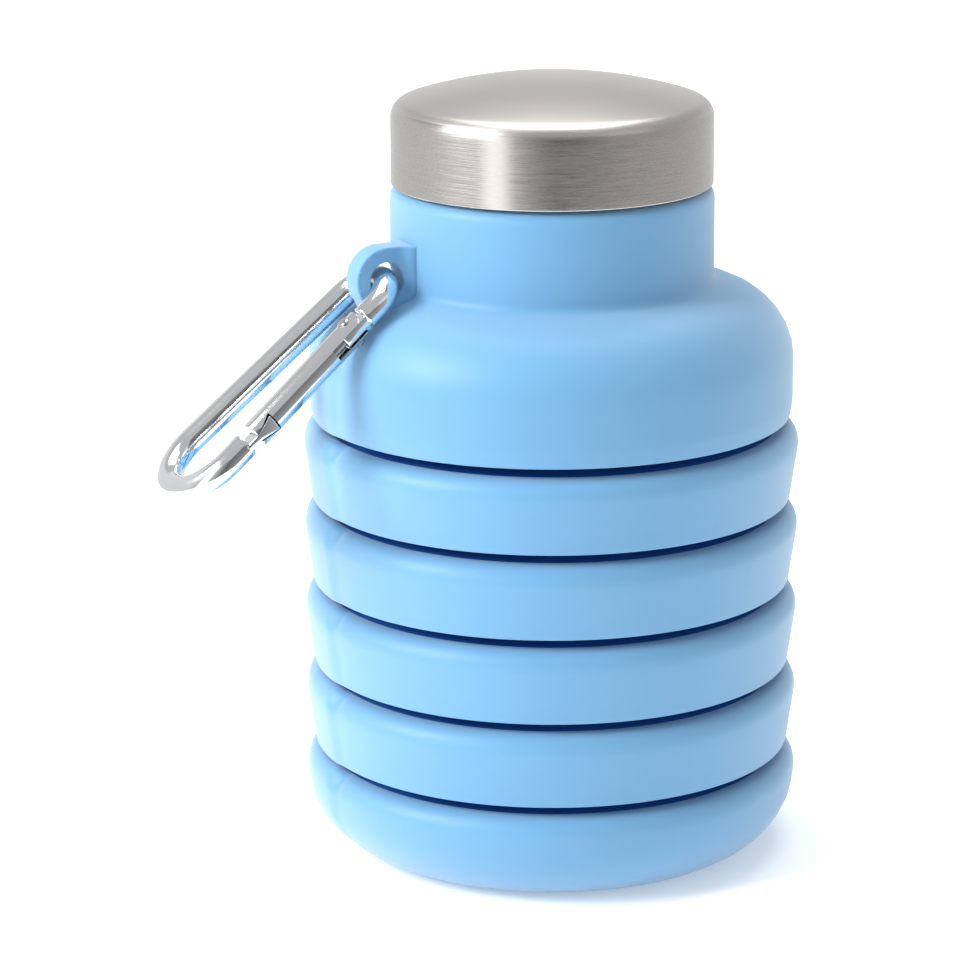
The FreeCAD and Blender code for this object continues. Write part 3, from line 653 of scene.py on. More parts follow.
@dataclass
class SoftBody:
    """The moulded body: base cup, hoop bands, folding webs, shoulder with its neck, and the lug."""

    bands: int = 4
    foot_radius: float = 37.0
    crown_radius: float = 38.67
    crown_round: float = 2.9
    edge_round: float = 0.35
    ledge_radius: float = 34.9
    inner_radius: float = 33.8
    ledge_depth: float = 0.85
    part_step: float = 0.34
    part_half_width: float = 1.7
    pinch: float = 0.72
    web_depth: float = 7.0
    web_wall: float = 1.0
    fold_travel: float = 15.5
    lug_radius: float = 5.0
    lug_hole_radius: float = 2.7
    lug_thickness: float = 4.0
    lug_drop: float = 8.2
    lug_toe_out: float = 0.6
    lug_root: float = 22.8
    lug_round: float = 1.05
    lug_flare: float = 0.55
    lug_flare_reach: float = 1.3
    neck_radius: float = 24.9
    neck_foot: float = 20.9
    shoulder_slope: float = 0.3155
    shoulder_foot_radius: float = 36.9
    shoulder_radius: float = 37.26
    shoulder_corner: float = 17.0
    base_foot_radius: float = 36.9
    base_round: float = 11.5
    base_floor: float = 4.2
    recess_inner: float = 9.0
    recess_outer: float = 21.0
    recess_depth: float = 0.8
    collar_bore: float = 20.95
    flange_bore: float = 22.65

    def build(self) -> None:
        """Builds every silicone piece."""
        self.base_cup()
        for index in range(1, self.bands + 1):
            self.band(index)
        for index in range(1, self.bands + 2):
            self.web(index)
        self.shoulder()
        self.lug()

    def part_line(self, bm: bmesh.types.BMesh, top: float | None) -> None:
        """Steps the surface at the mould's parting line and pinches the slit shut beside it.

        Args:
            bm: The turned piece, in millimetres.
            top: The height of its slit's lower edge, or None where there is no slit above.
        """
        for vert in bm.verts:
            reach = math.hypot(vert.co.x, vert.co.y)
            if reach < self.ledge_radius + 0.2:
                continue
            share = smooth(reach, self.ledge_radius + 0.2, self.ledge_radius + 1.2)
            grow = self.part_step * smooth(vert.co.y, -self.part_half_width, self.part_half_width)
            if top is not None and vert.co.x < 0:
                beside = smooth(vert.co.y, -0.6, 2.0) * (1 - smooth(vert.co.y, 24, 33))
                near_top = smooth(vert.co.z, top - 4.5, top - 0.2)
                vert.co.z += self.pinch * beside * near_top * share
                dimple = math.exp(-((vert.co.y + 0.2) / 1.5) ** 2 - ((vert.co.z - top + 0.8) / 1.1) ** 2)
                grow -= 0.75 * dimple
            scale = 1 + grow * share / reach
            vert.co.x *= scale
            vert.co.y *= scale

    def base_cup(self) -> None:
        """The cup that the bottle stands on, with a shallow ring recess under it."""
        low, high = node_box("base_cup")
        ledge = high.z - self.ledge_depth
        corners = [
            Corner(0, low.z),
            Corner(self.recess_inner, low.z, 0.3),
            Corner(self.recess_inner + self.recess_depth, low.z + self.recess_depth, 0.3),
            Corner(self.recess_outer - self.recess_depth, low.z + self.recess_depth, 0.3),
            Corner(self.recess_outer, low.z, 0.3),
            Corner(self.base_foot_radius, low.z, self.base_round),
            Corner(self.crown_radius, high.z, self.crown_round),
            Corner(self.ledge_radius, high.z, 0.2),
            Corner(self.ledge_radius, ledge),
            Corner(self.inner_radius, ledge, 0.2),
            Corner(self.inner_radius, self.base_floor, 8.0),
            Corner(0, self.base_floor),
        ]
        bm = lathe(corners, closed=False)
        self.part_line(bm, high.z)
        piece = finished(bm, "base_cup_skin", [SILICONE])
        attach(piece, "base")
        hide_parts("base_cup")
        log.info("base cup built")

    def band(self, index: int) -> None:
        """One hoop band, crisp at its foot and full at its crown.

        Args:
            index: The band's number from the base up.
        """
        low, high = node_box(f"band_{index}")
        foot, top = low.z, high.z
        corners = [
            Corner(self.ledge_radius, foot, 0.2),
            Corner(self.foot_radius, foot, self.edge_round),
            Corner(self.crown_radius, top, self.crown_round),
            Corner(self.ledge_radius, top, 0.2),
            Corner(self.ledge_radius, top - self.ledge_depth),
            Corner(self.inner_radius, top - self.ledge_depth, 0.2),
            Corner(self.inner_radius, foot + self.ledge_depth, 0.2),
            Corner(self.ledge_radius, foot + self.ledge_depth),
        ]
        bm = lathe(corners)
        self.part_line(bm, top)
        piece = finished(bm, f"hoop_band_{index}", [SILICONE])
        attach(piece, f"hoop_{index}")
        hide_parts(f"band_{index}")
        log.info("hoop band %d built", index)

    def web(self, index: int) -> None:
        """One thin folding wall, a bellows pleat drawn as the pulled-out pleat squeezed into its folded
        height.

        Args:
            index: The web's number from the base up.
        """
        low, high = node_box(f"fold_web_{index}")
        reach = high.z - low.z
        wide = reach + self.fold_travel
        apex = self.ledge_radius - self.web_depth
        tuck = self.web_wall / 2
        corners = [
            Corner(self.ledge_radius - 0.02, 0),
            Corner(self.ledge_radius - 0.02, self.web_wall, 0.4),
            Corner(apex + self.web_wall, wide / 2, 2.0),
            Corner(self.ledge_radius - 0.02, wide - self.web_wall, 0.4),
            Corner(self.ledge_radius - 0.02, wide),
            Corner(self.inner_radius + tuck / 2, wide),
            Corner(apex, wide / 2, 2.4),
            Corner(self.inner_radius + tuck / 2, 0),
        ]
        bm = lathe(corners, steps=240, grain=0.7)
        for vert in bm.verts:
            vert.co.z = low.z + self.folded_share(vert.co.z / wide, reach) * reach
        # the webs take the darker painted-shade silicone, so that the slits between the bands read dark
        piece = finished(bm, f"folding_web_{index}", [SLIT_SHADE_SILICONE])
        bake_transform(piece)
        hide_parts(f"fold_web_{index}")
        log.info("folding web %d built", index)

    def folded_share(self, share: float, reach: float) -> float:
        """Where a point of the pulled-out pleat lies in the folded one.

        Args:
            share: Its height in the pulled-out pleat, from 0 to 1.
            reach: The folded pleat's height in millimetres.

        Returns:
            Its height in the folded pleat, from 0 to 1.
        """
        low, high = 0.0, 1.0
        goal = share * (reach + self.fold_travel)
        for _ in range(40):
            middle = (low + high) / 2
            if middle * reach + smooth(middle, 0, 1) * self.fold_travel < goal:
                low = middle
            else:
                high = middle
        return (low + high) / 2

    def shoulder(self) -> None:
        """The shoulder and the neck sleeve that grips the collar."""
        low, high = node_box("shoulder_neck")
        foot = low.z
        corners = [
            Corner(self.ledge_radius, foot, 0.2),
            Corner(self.shoulder_foot_radius, foot, self.edge_round),
            Corner(self.shoulder_radius, foot + 2.5, 6.0),
            Corner(self.shoulder_radius, foot + self.shoulder_corner, 10.5),
            Corner(self.neck_radius, foot + self.neck_foot, 1.4),
            Corner(self.neck_radius, high.z, 1.95),
            Corner(self.flange_bore, high.z),
            Corner(self.flange_bore, foot + 34.2),
            Corner(self.collar_bore, foot + 34.2),
            Corner(self.collar_bore, foot + 23.0),
            Corner(self.flange_bore, foot + 23.0),
            Corner(self.flange_bore, foot + 21.5),
            Corner(self.collar_bore, foot + 21.5),
            Corner(self.collar_bore, foot + 17.4, 1.0),
            Corner(self.inner_radius, foot + 12.6, 6.5),
            Corner(self.inner_radius, foot + self.ledge_depth, 0.2),
            Corner(self.ledge_radius, foot + self.ledge_depth),
        ]
        bm = lathe(corners)
        self.part_line(bm, None)
        piece = finished(bm, "shoulder_and_neck", [SILICONE])
        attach(piece, "upper")
        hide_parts("shoulder_neck")
        log.info("shoulder and neck built")

    def lug_reach(self, angle: float, root: float) -> float:
        """How far the lug's outline lies from its hole's centre.

        Args:
            angle: The direction in the lug's side view, 0 towards the neck, in radians.
            root: How far the outline runs into the neck, in millimetres.

        Returns:
            The distance in millimetres.
        """
        across, along = math.cos(angle), math.sin(angle)
        toe = Vector((-self.lug_toe_out, -self.lug_drop))
        # where the line up from the toe touches the round head
        touch = math.atan2(toe.y, toe.x) % math.tau - math.acos(self.lug_radius / toe.length)
        if across > 0:
            limits = [root / across]
            limits.append((self.lug_radius if along > 0 else self.lug_drop) / max(abs(along), 1e-6))
            return min(limits)
        if angle <= touch:
            return self.lug_radius
        start = Vector((math.cos(touch), math.sin(touch))) * self.lug_radius
        side = toe - start
        return abs(start.x * side.y - start.y * side.x) / abs(across * side.y - along * side.x)

    def lug(self) -> None:
        """The ear that the carabiner hangs in, flared where it grows out of the neck."""
        hole = Vector(next(j["pos_m"] for j in frame["joints"] if j["name"] == "carabiner_swing")) / MM
        root = -hole.x - self.lug_root
        bm = bmesh.new()
        turn = Matrix.Rotation(math.pi / 2, 4, "X")
        inner_radius = self.lug_hole_radius
        bmesh.ops.create_circle(bm, cap_ends=False, radius=inner_radius, segments=96, matrix=turn)
        outer = bmesh.ops.create_circle(bm, cap_ends=False, radius=1.0, segments=96, matrix=turn)
        for vert in outer["verts"]:
            angle = math.atan2(vert.co.z, vert.co.x) % math.tau
            vert.co *= self.lug_reach(angle, root)
        sides = bmesh.ops.bridge_loops(bm, edges=list(bm.edges))["edges"]
        bmesh.ops.subdivide_edges(bm, edges=sides, cuts=7, use_grid_fill=True)
        thicken(bm, Vector((0, 1, 0)), self.lug_thickness)
        rims = [
            edge
            for edge in bm.edges
            if len(edge.link_faces) == 2 and edge.calc_face_angle() > math.radians(60)
        ]
        round_edges(bm, rims, self.lug_round, segments=6, clamp=True)
        bmesh.ops.translate(bm, verts=bm.verts, vec=hole)
        crown = node_box("shoulder_neck")[0].z + self.neck_foot
        for vert in bm.verts:
            reach = math.hypot(vert.co.x, vert.co.y)
            over = vert.co.z - (crown - self.shoulder_slope * (reach - self.neck_radius))
            gap = max(0.0, min(reach - self.neck_radius, over))
            vert.co.y *= 1 + self.lug_flare * math.exp(-((gap / self.lug_flare_reach) ** 2))
        piece = finished(bm, "carrying_lug", [SILICONE])
        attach(piece, "upper")
        log.info("carrying lug built")


# ---- the cap ------------------------------------------------------------------------------


@dataclass
class ScrewCap:
    """The drawn steel cap, and the plastic that screws it on."""

    radius: float = 24.7
    wall: float = 0.5
    corner_round: float = 2.6
    dome_radius: float = 75.1
    lip: float = 0.6
    lip_height: float = 0.42
    side_share: float = 0.55

    def build(self) -> None:
        """Builds the steel and dresses the plastic parts under it."""
        self.shell()
        dress("cap_liner", LINER_PLASTIC)
        dress("cap_gasket", GASKET_SILICONE)
        dress("neck_collar", COLLAR_PLASTIC)

    def shell(self) -> None:
        """The cap's outside and inside, with a rolled lip at its foot."""
        low, high = node_box("cap_shell")
        foot, apex = low.z, high.z
        rim = self.radius - self.corner_round
        rise = math.sqrt((self.dome_radius - self.corner_round) ** 2 - rim**2)
        centre = apex - self.dome_radius
        turn = math.atan2(rise, rim)
        shoulder = centre + rise
        # the corner where the side and the dome's edge tangent would meet
        corner_height = shoulder + self.corner_round * math.tan(turn / 2)
        dome = []
        count = 14
        for step in range(count + 1):
            angle = turn + (math.pi / 2 - turn) * step / count
            across, along = math.cos(angle), math.sin(angle)
            dome.append(Vector((self.dome_radius * across, centre + self.dome_radius * along)))
        inner = self.radius - self.wall
        corners = [Corner(inner - self.lip, foot, 0.15), Corner(self.radius, foot, 0.28)]
        corners.append(Corner(self.radius, corner_height, self.corner_round * 0.999))
        corners += [Corner(point.x, point.y) for point in dome[1:-1]]
        corners.append(Corner(0, apex))
        corners.append(Corner(0, apex - self.wall))
        corners += [Corner(point.x, point.y - self.wall) for point in dome[-2:2:-1]]
        corners.append(Corner(inner, shoulder, 1.4))
        corners += [Corner(inner, foot + self.lip), Corner(inner - self.lip, foot + self.lip)]
        bm = lathe(corners, steps=360, grain=0.9)
        for face in bm.faces:
            middle = face.calc_center_median()
            if middle.z < foot + self.lip_height:
                face.material_index = 2
            elif middle.z > shoulder + self.corner_round * self.side_share:
                face.material_index = 1
        piece = finished(bm, "steel_cap", [CAP_SIDE, CAP_DOME, CAP_LIP])
        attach(piece, "cap")
        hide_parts("cap_shell")
        log.info("steel cap built")


# ---- the carabiner ------------------------------------------------------------------------


@dataclass
class Carabiner:
    """The bent-wire loop with its forked gate, rivet, plunger and spring."""

    rod_radius: float = 2.0
    start: float = 0.2
    top_bend: float = 5.4
    low_bend: float = 7.2
    spacing: float = 31.6
    pin_reach: float = 4.8
    nose_reach: float = 23.2
    nose_start: float = 18.2
    nose_waist: float = 21.3
    nose_height: float = 2.8
    nose_neck: float = 1.1
    nose_head: float = 2.7
    tang_gap: float = 2.75
    tang_end: float = 2.0
    tang_half_height: float = 1.4
    tang_half_thick: float = 0.9
    root_sink: float = 0.6
    end_round: float = 0.35
    nose_round: float = 0.16
    gate_round: float = 0.25
    notch_gap: float = 0.2
    rivet_seat: float = 1.75
    rivet_tip: float = 2.4
    rivet_radius: float = 0.75
    rivet_head_radius: float = 1.05
    gate_radius: float = 2.15
    gate_length: float = 21.6
    slot_width: float = 2.1
    slot_depth: float = 4.6
    bore_radius: float = 1.1
    bore_end: float = 14.0
    sides: int = 40

    def __post_init__(self) -> None:
        """Finds the loop's and the gate's own frames from the joints they turn on."""
        joints = {joint["name"]: joint for joint in frame["joints"]}
        normal = Vector(joints["gate_open"]["axis"])
        across = Vector(joints["carabiner_swing"]["axis"])
        down = across.cross(normal)
        self.place = self.seat(Vector(joints["carabiner_swing"]["pos_m"]), down, across, normal)
        leg = Vector(joints["plunger_slide"]["axis"])
        self.gate_place = self.seat(Vector(joints["gate_open"]["pos_m"]), leg, normal.cross(leg), normal)
        self.slope = math.asin((self.low_bend - self.top_bend) / self.spacing)

    def seat(self, at: Vector, along: Vector, across: Vector, normal: Vector) -> Matrix:
        """The matrix that takes a drawing frame to its place.

        Args:
            at: The frame's origin in metres.
            along: Its X direction.
            across: Its Y direction.
            normal: Its Z direction.

        Returns:
            A matrix in millimetres.
        """
        turned = Matrix((along, across, normal)).transposed().to_4x4()
        return Matrix.Translation(at / MM) @ turned

    def build(self) -> None:
        """Builds the wire, the gate and the rivet, and dresses what is inside the gate."""
        self.wire()
        self.gate()
        self.rivet()
        dress("gate_plunger", PIN_STEEL)
        dress("gate_spring", PIN_STEEL)

    def block(self, low: Vector, high: Vector, round_by: float) -> bmesh.types.BMesh:
        """Draws a block with rounded edges.

        Args:
            low: Its lowest corner.
            high: Its highest corner.
            round_by: The radius of its edges.

        Returns:
            The block's mesh.
        """
        bm = bmesh.new()
        bmesh.ops.create_cube(bm, size=1.0)
        bmesh.ops.scale(bm, vec=high - low, verts=bm.verts)
        bmesh.ops.translate(bm, vec=(low + high) / 2, verts=bm.verts)
        round_edges(bm, list(bm.edges), round_by)
        return bm

    def sweep(self, bm: bmesh.types.BMesh, ring: list, move: Vector, cuts: int) -> list:
        """Draws the ring of edges straight on.

        Args:
            bm: The mesh.
            ring: The open end's edges.
            move: How far and which way.
            cuts: How many equal steps it takes.

        Returns:
            The new open end's edges.
        """
        for _ in range(cuts):
            made = bmesh.ops.extrude_edge_only(bm, edges=ring)["geom"]
            verts = verts_of(made)
            bmesh.ops.translate(bm, verts=verts, vec=move / cuts)
            fresh = set(verts)
            ring = [
                item
                for item in made
                if isinstance(item, bmesh.types.BMEdge) and all(vert in fresh for vert in item.verts)
            ]
        return ring

    def bend(self, bm: bmesh.types.BMesh, ring: list, centre: Vector, angle: float, steps: int) -> list:
        """Draws the ring of edges round a bend in the loop's plane.

        Args:
            bm: The mesh.
            ring: The open end's edges.
            centre: The bend's centre.
            angle: How far round, in radians, positive from X towards Y.
            steps: How many equal steps it takes.

        Returns:
            The new open end's edges.
        """
        verts = list({vert for edge in ring for vert in edge.verts})
        made = bmesh.ops.spin(
            bm,
            geom=[*verts, *ring],
            cent=centre,
            axis=UP,
            angle=angle,
            steps=steps,
            use_merge=False,
            use_duplicate=False,
        )
        return [item for item in made["geom_last"] if isinstance(item, bmesh.types.BMEdge)]

    def wire(self) -> None:
        """The bent wire, with its hinge tang at one end and its hooked nose at the other."""
        slope, low, top = self.slope, self.low_bend, self.top_bend
        centre = Vector((self.start + top, 0, 0))
        low_centre = centre + Vector((self.spacing, 0, 0))
        near = Vector((math.cos(slope), -math.sin(slope), 0))
        out = Vector((-math.sin(slope), -math.cos(slope), 0))
        hinge_way = self.pin_reach - self.tang_gap
        bm = bmesh.new()
        turned = Matrix.Rotation(-slope, 4, "Z") @ Matrix.Rotation(math.pi / 2, 4, "Y")
        begin = centre + out * top + near * hinge_way
        made = bmesh.ops.create_circle(
            bm,
            cap_ends=False,
            radius=self.rod_radius,
            segments=self.sides,
            matrix=Matrix.Translation(begin) @ turned,
        )
        ring = list({edge for vert in made["verts"] for edge in vert.link_edges})
        first = list(ring)
        ring = self.sweep(bm, ring, near * -hinge_way, 3)
        ring = self.bend(bm, ring, centre, -(math.pi - 2 * slope), 40)
        far = Vector((math.cos(slope), math.sin(slope), 0))
        straight = self.spacing * math.cos(slope)
        ring = self.sweep(bm, ring, far * straight, 24)
        ring = self.bend(bm, ring, low_centre, -(math.pi + 2 * slope), 48)
        ring = self.sweep(bm, ring, near * -(straight - self.pin_reach - self.nose_reach), 4)
        for end in (first, ring):
            cap = bmesh.ops.contextual_create(bm, geom=end)["faces"]
            rim = [edge for face in cap for edge in face.edges]
            round_edges(bm, rim, self.end_round)
        bmesh.ops.recalc_face_normals(bm, faces=bm.faces)
        gate_in_loop = self.place.inverted() @ self.gate_place
        high, thick = self.tang_half_height, self.tang_half_thick
        tang_low = Vector((-self.tang_gap - self.root_sink, -high, -thick))
        tang = self.block(tang_low, Vector((self.tang_end, high, thick)), 0.22)
        join(bm, tang, gate_in_loop)
        join(bm, self.nose(), gate_in_loop)
        piece = finished(bm, "carabiner_wire", [ALUMINIUM], self.place)
        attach(piece, "loop")
        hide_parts("carabiner_frame")
        log.info("carabiner wire built")

    def nose(self) -> bmesh.types.BMesh:
        """Draws the hook that the gate closes over, wide at its end and narrow at the wire.

        Returns:
            The hook's mesh, in the gate's frame.
        """
        bm = bmesh.new()
        bmesh.ops.create_cube(bm, size=1.0)
        start, waist, end = self.nose_start, self.nose_waist, self.nose_reach + 0.8
        bmesh.ops.scale(bm, vec=(end - start, self.nose_height, self.nose_neck), verts=bm.verts)
        bmesh.ops.translate(bm, vec=((start + end) / 2, -0.6, 0), verts=bm.verts)
        bmesh.ops.bisect_plane(
            bm, geom=[*bm.verts, *bm.edges, *bm.faces], plane_co=(waist, 0, 0), plane_no=(1, 0, 0), dist=1e-5
        )
        head = [vert for vert in bm.verts if vert.co.x < start + 0.1]
        bmesh.ops.scale(bm, vec=(1, 1, self.nose_head / self.nose_neck), verts=head)
        edges = [edge for edge in bm.edges if edge.calc_face_angle() > 0.3]
        round_edges(bm, edges, self.nose_round, segments=2)
        bmesh.ops.recalc_face_normals(bm, faces=bm.faces)
        return bm

    def cutter(self, bm: bmesh.types.BMesh) -> bpy.types.Object:
        """A throw-away object that cuts the gate, from a mesh in the gate's frame."""
        return finished(bm, "cutter", [], self.gate_place)

    def gate(self) -> None:
        """The gate: a round bar, forked at the hinge, bored for its spring and notched for the nose."""
        bm = bmesh.new()
        half = self.gate_length / 2
        along = Matrix.Rotation(math.pi / 2, 4, "Y")
        middle = Matrix.Translation((half - self.gate_radius / 2, 0, 0))
        bmesh.ops.create_cone(
            bm,
            cap_ends=True,
            segments=64,
            radius1=self.gate_radius,
            radius2=self.gate_radius,
            depth=self.gate_length + self.gate_radius,
            matrix=middle @ along,
        )
        far_rim = [
            edge
            for edge in bm.edges
            if all(vert.co.x > self.gate_length - 0.01 for vert in edge.verts)
        ]
        round_edges(bm, far_rim, self.gate_round)
        piece = finished(bm, "carabiner_gate_bar", [ALUMINIUM], self.gate_place)
        cutters = [self.fork_cutter(), self.ear_cutter(), self.bore_cutter(), self.notch_cutter()]
        for cutter in cutters:
            cut = piece.modifiers.new("cut", "BOOLEAN")
            cut.operation = "DIFFERENCE"
            cut.solver = "EXACT"
            cut.object = cutter
            baked(piece)
            bpy.data.objects.remove(cutter)
        edge = piece.modifiers.new("edge", "BEVEL")
        edge.width = 0.13 * MM
        edge.segments = 2
        edge.limit_method = "ANGLE"
        edge.angle_limit = math.radians(35)
        edge.harden_normals = True
        baked(piece)
        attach(piece, "gate")
        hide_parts("carabiner_gate")
        log.info("carabiner gate built")

    def fork_cutter(self) -> bpy.types.Object:
        """What is milled out between the fork's ears."""
        half = self.slot_width / 2
        return self.cutter(self.block(Vector((-6, -5, -half)), Vector((self.slot_depth, 5, half)), 0.25))

    def ear_cutter(self) -> bpy.types.Object:
        """What is milled off to leave the ears round about the rivet."""
        bm = bmesh.new()
        for radius in (6.0, self.gate_radius):
            bmesh.ops.create_circle(bm, cap_ends=False, radius=radius, segments=96)
        bmesh.ops.bridge_loops(bm, edges=list(bm.edges))
        geom = [*bm.verts, *bm.edges, *bm.faces]
        bmesh.ops.bisect_plane(
            bm, geom=geom, plane_co=(0, 0, 0), plane_no=(1, 0, 0), clear_outer=True, dist=1e-5
        )
        thicken(bm, UP, 8.0)
        return self.cutter(bm)

    def bore_cutter(self) -> bpy.types.Object:
        """The hole that the plunger and its spring sit in."""
        bm = bmesh.new()
        start = self.slot_depth - 1
        along = Matrix.Rotation(math.pi / 2, 4, "Y")
        middle = Matrix.Translation(((start + self.bore_end) / 2, 0, 0))
        bmesh.ops.create_cone(
            bm,
            cap_ends=True,
            segments=32,
            radius1=self.bore_radius,
            radius2=self.bore_radius,
            depth=self.bore_end - start,
            matrix=middle @ along,
        )
        return self.cutter(bm)

    def notch_cutter(self) -> bpy.types.Object:
        """The notch that the nose drops into, open on the gate's outer side."""
        bm = self.nose()
        bmesh.ops.scale(bm, vec=(1, 1, 1.25), verts=bm.verts)
        for vert in bm.verts:
            vert.co.x -= self.notch_gap if vert.co.x < 19 else 0
            vert.co.y += self.notch_gap if vert.co.y > -0.6 else -1.5
        return self.cutter(bm)

    def rivet(self) -> None:
        """The rivet with a domed head at each end."""
        seat, tip = self.rivet_seat, self.rivet_tip
        shank, head = self.rivet_radius, self.rivet_head_radius
        corners = [
            Corner(0, -tip),
            Corner(head, -tip, 0.5),
            Corner(head, -seat, 0.05),
            Corner(shank, -seat),
            Corner(shank, seat),
            Corner(head, seat, 0.05),
            Corner(head, tip, 0.5),
            Corner(0, tip),
        ]
        bm = lathe(corners, closed=False, steps=48, grain=0.6)
        piece = finished(bm, "gate_rivet", [PIN_STEEL], self.gate_place)
        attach(piece, "gate")
        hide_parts("gate_pin")
        log.info("gate rivet built")


# ---- the studio ---------------------------------------------------------------------------


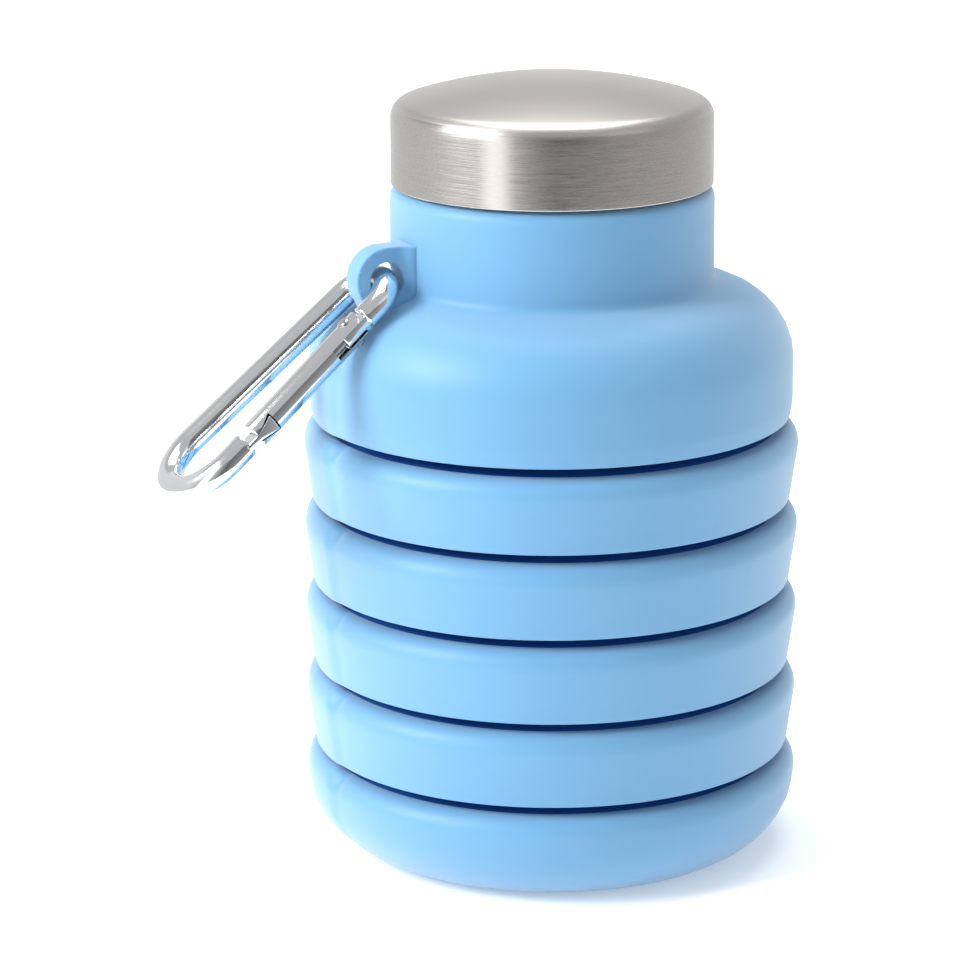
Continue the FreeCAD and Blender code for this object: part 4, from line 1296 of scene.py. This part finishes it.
@dataclass
class Studio:
    """A plain pale floor, soft light from the upper left, panels for the metal, and the camera."""

    azimuth: float = math.radians(-28)
    distance: float = 0.6
    height: float = 0.21784
    yaw: float = -0.0185
    pitch: float = 0.2611
    roll: float = -0.0046
    lens: float = 148.8
    tent_radius: float = 0.22
    tent_height: float = 0.2
    floor_glow: float = 0.3
    panel_light: float = 1.6

    def build(self) -> None:
        """Sets up everything that isn't the bottle."""
        scene = bpy.context.scene
        scene.view_settings.view_transform = "Standard"
        self.camera()
        self.floor()
        self.tent()
        self.lights()
        self.world()

    def turned(self, across: float, away: float, up: float) -> Vector:
        """A point given as the camera sees it.

        Args:
            across: Metres to the right of the bottle's axis.
            away: Metres beyond the axis.
            up: Metres above the floor.

        Returns:
            The point in the bottle's frame.
        """
        return Matrix.Rotation(self.azimuth, 3, "Z") @ Vector((across, away, up))

    def camera(self) -> None:
        """The camera, at the angle that shows the lug on the left."""
        data = bpy.data.cameras.new("camera")
        data.lens = self.lens
        data.sensor_width = 36.0
        data.clip_start = 0.05
        data.clip_end = 50.0
        view = Vector(
            (
                math.sin(self.yaw) * math.cos(self.pitch),
                math.cos(self.yaw) * math.cos(self.pitch),
                -math.sin(self.pitch),
            )
        )
        right = view.cross(UP).normalized()
        above = right.cross(view)
        side = right * math.cos(self.roll) + above * math.sin(self.roll)
        above = above * math.cos(self.roll) - right * math.sin(self.roll)
        turn = Matrix.Rotation(self.azimuth, 4, "Z")
        aim = Matrix((side, above, -view)).transposed().to_4x4()
        camera = bpy.data.objects.new("camera", data)
        camera.matrix_world = turn @ Matrix.Translation((0, -self.distance, self.height)) @ aim
        bpy.context.scene.collection.objects.link(camera)
        bpy.context.scene.camera = camera

    def floor(self) -> None:
        """The floor, large enough to fill the view, lit from behind like a light table."""
        bm = bmesh.new()
        bmesh.ops.create_grid(bm, x_segments=1, y_segments=1, size=6.0)
        material, _, shader, _ = new_material("floor_matt_white")
        shader.inputs["Base Color"].default_value = (0.93, 0.93, 0.93, 1)
        shader.inputs["Roughness"].default_value = 0.9
        shader.inputs["Specular IOR Level"].default_value = 0.0
        shader.inputs["Emission Color"].default_value = (1, 1, 1, 1)
        shader.inputs["Emission Strength"].default_value = self.floor_glow
        mesh = bpy.data.meshes.new("floor")
        bm.to_mesh(mesh)
        bm.free()
        mesh.materials.append(material)
        floor = bpy.data.objects.new("floor", mesh)
        bpy.context.scene.collection.objects.link(floor)

    def tent(self) -> None:
        """A ring of light and dark panels that only reflections see."""
        bm = bmesh.new()
        bmesh.ops.create_cone(
            bm,
            cap_ends=False,
            segments=128,
            radius1=self.tent_radius,
            radius2=self.tent_radius,
            depth=self.tent_height,
            matrix=Matrix.Translation((0, 0, self.tent_height / 2 + 0.001)),
        )
        mesh = bpy.data.meshes.new("reflection_panels")
        bm.to_mesh(mesh)
        bm.free()
        mesh.materials.append(self.panel_material())
        tent = bpy.data.objects.new("reflection_panels", mesh)
        bpy.context.scene.collection.objects.link(tent)
        tent.visible_camera = False
        tent.visible_diffuse = False
        tent.visible_shadow = False
        tent.visible_transmission = False
        tent.visible_volume_scatter = False

    def panel_material(self) -> bpy.types.Material:
        """The panels' brightness round the bottle, starting behind it and going clockwise from above."""
        material = bpy.data.materials.new("panel_light")
        material.use_nodes = True
        tree = material.node_tree
        tree.nodes.clear()
        place = add_node(tree, "ShaderNodeTexCoord").outputs["Object"]
        turn = add_node(
            tree,
            "ShaderNodeMapping",
            {"vector_type": "VECTOR"},
            {"Vector": place, "Rotation": (0, 0, -self.azimuth)},
        )
        parts = add_node(tree, "ShaderNodeSeparateXYZ", sockets={0: turn.outputs[0]})
        away = add_node(tree, "ShaderNodeMath", {"operation": "MULTIPLY"}, {0: parts.outputs["Y"], 1: -1.0})
        angle = add_node(
            tree, "ShaderNodeMath", {"operation": "ARCTAN2"}, {0: parts.outputs["X"], 1: away.outputs[0]}
        )
        share = add_node(
            tree,
            "ShaderNodeMapRange",
            sockets={"Value": angle.outputs[0], "From Min": -math.pi, "From Max": math.pi},
        )
        ramp = add_node(tree, "ShaderNodeValToRGB", sockets={"Fac": share.outputs["Result"]})
        # degrees from the camera, negative on its left, with the brightness there
        stops = (
            (-180, 0.85),
            (-130, 0.75),
            (-100, 0.72),
            (-62, 0.70),
            (-51, 0.50),
            (-43, 1.60),
            (-33, 1.60),
            (-26, 0.55),
            (-14, 0.32),
            (0, 0.13),
            (32, 0.09),
            (41, 0.02),
            (57, 0.02),
            (62, 0.22),
            (98, 0.20),
            (120, 0.36),
            (140, 1.20),
            (180, 0.85),
        )
        elements = ramp.color_ramp.elements
        while len(elements) > 1:
            elements.remove(elements[-1])
        for index, (degrees, light) in enumerate(stops):
            element = elements[0] if index == 0 else elements.new(0.5)
            element.position = (degrees + 180) / 360
            grey = light / self.panel_light
            element.color = (grey, grey, grey, 1)
        glow = add_node(
            tree, "ShaderNodeEmission", sockets={"Color": ramp.outputs[0], "Strength": self.panel_light}
        )
        add_node(tree, "ShaderNodeOutputMaterial", sockets={"Surface": glow.outputs[0]})
        return material

    def lights(self) -> None:
        """A large key light at the upper left, a fill at the right and one overhead."""
        settings = (
            ("key_light", (-0.9, -0.4, 0.7), 0.6, 15.0),
            ("fill_light", (0.95, -0.6, 0.55), 0.8, 0.5),
            ("top_light", (0.0, 0.25, 1.2), 0.9, 9.0),
        )
        for name, place, size, power in settings:
            data = bpy.data.lights.new(name, "AREA")
            data.size = size
            data.energy = power
            light = bpy.data.objects.new(name, data)
            at = self.turned(*place)
            aim = (Vector((0, 0, 0.06)) - at).to_track_quat("-Z", "Y")
            light.matrix_world = Matrix.Translation(at) @ aim.to_matrix().to_4x4()
            bpy.context.scene.collection.objects.link(light)

    def world(self) -> None:
        """An even pale surround."""
        world = bpy.data.worlds.new("surround")
        bpy.context.scene.world = world
        world.use_nodes = True
        tree = world.node_tree
        tree.nodes.clear()
        glow = add_node(
            tree, "ShaderNodeBackground", sockets={"Color": (0.97, 0.98, 1.0, 1), "Strength": 0.52}
        )
        add_node(tree, "ShaderNodeOutputWorld", sockets={"Surface": glow.outputs[0]})


def main() -> None:
    """Builds the bottle from the base up, then the studio."""
    logging.basicConfig(level=logging.INFO, format="%(message)s")
    SoftBody().build()
    ScrewCap().build()
    Carabiner().build()
    Studio().build()


if __name__ == "__main__":
    main()
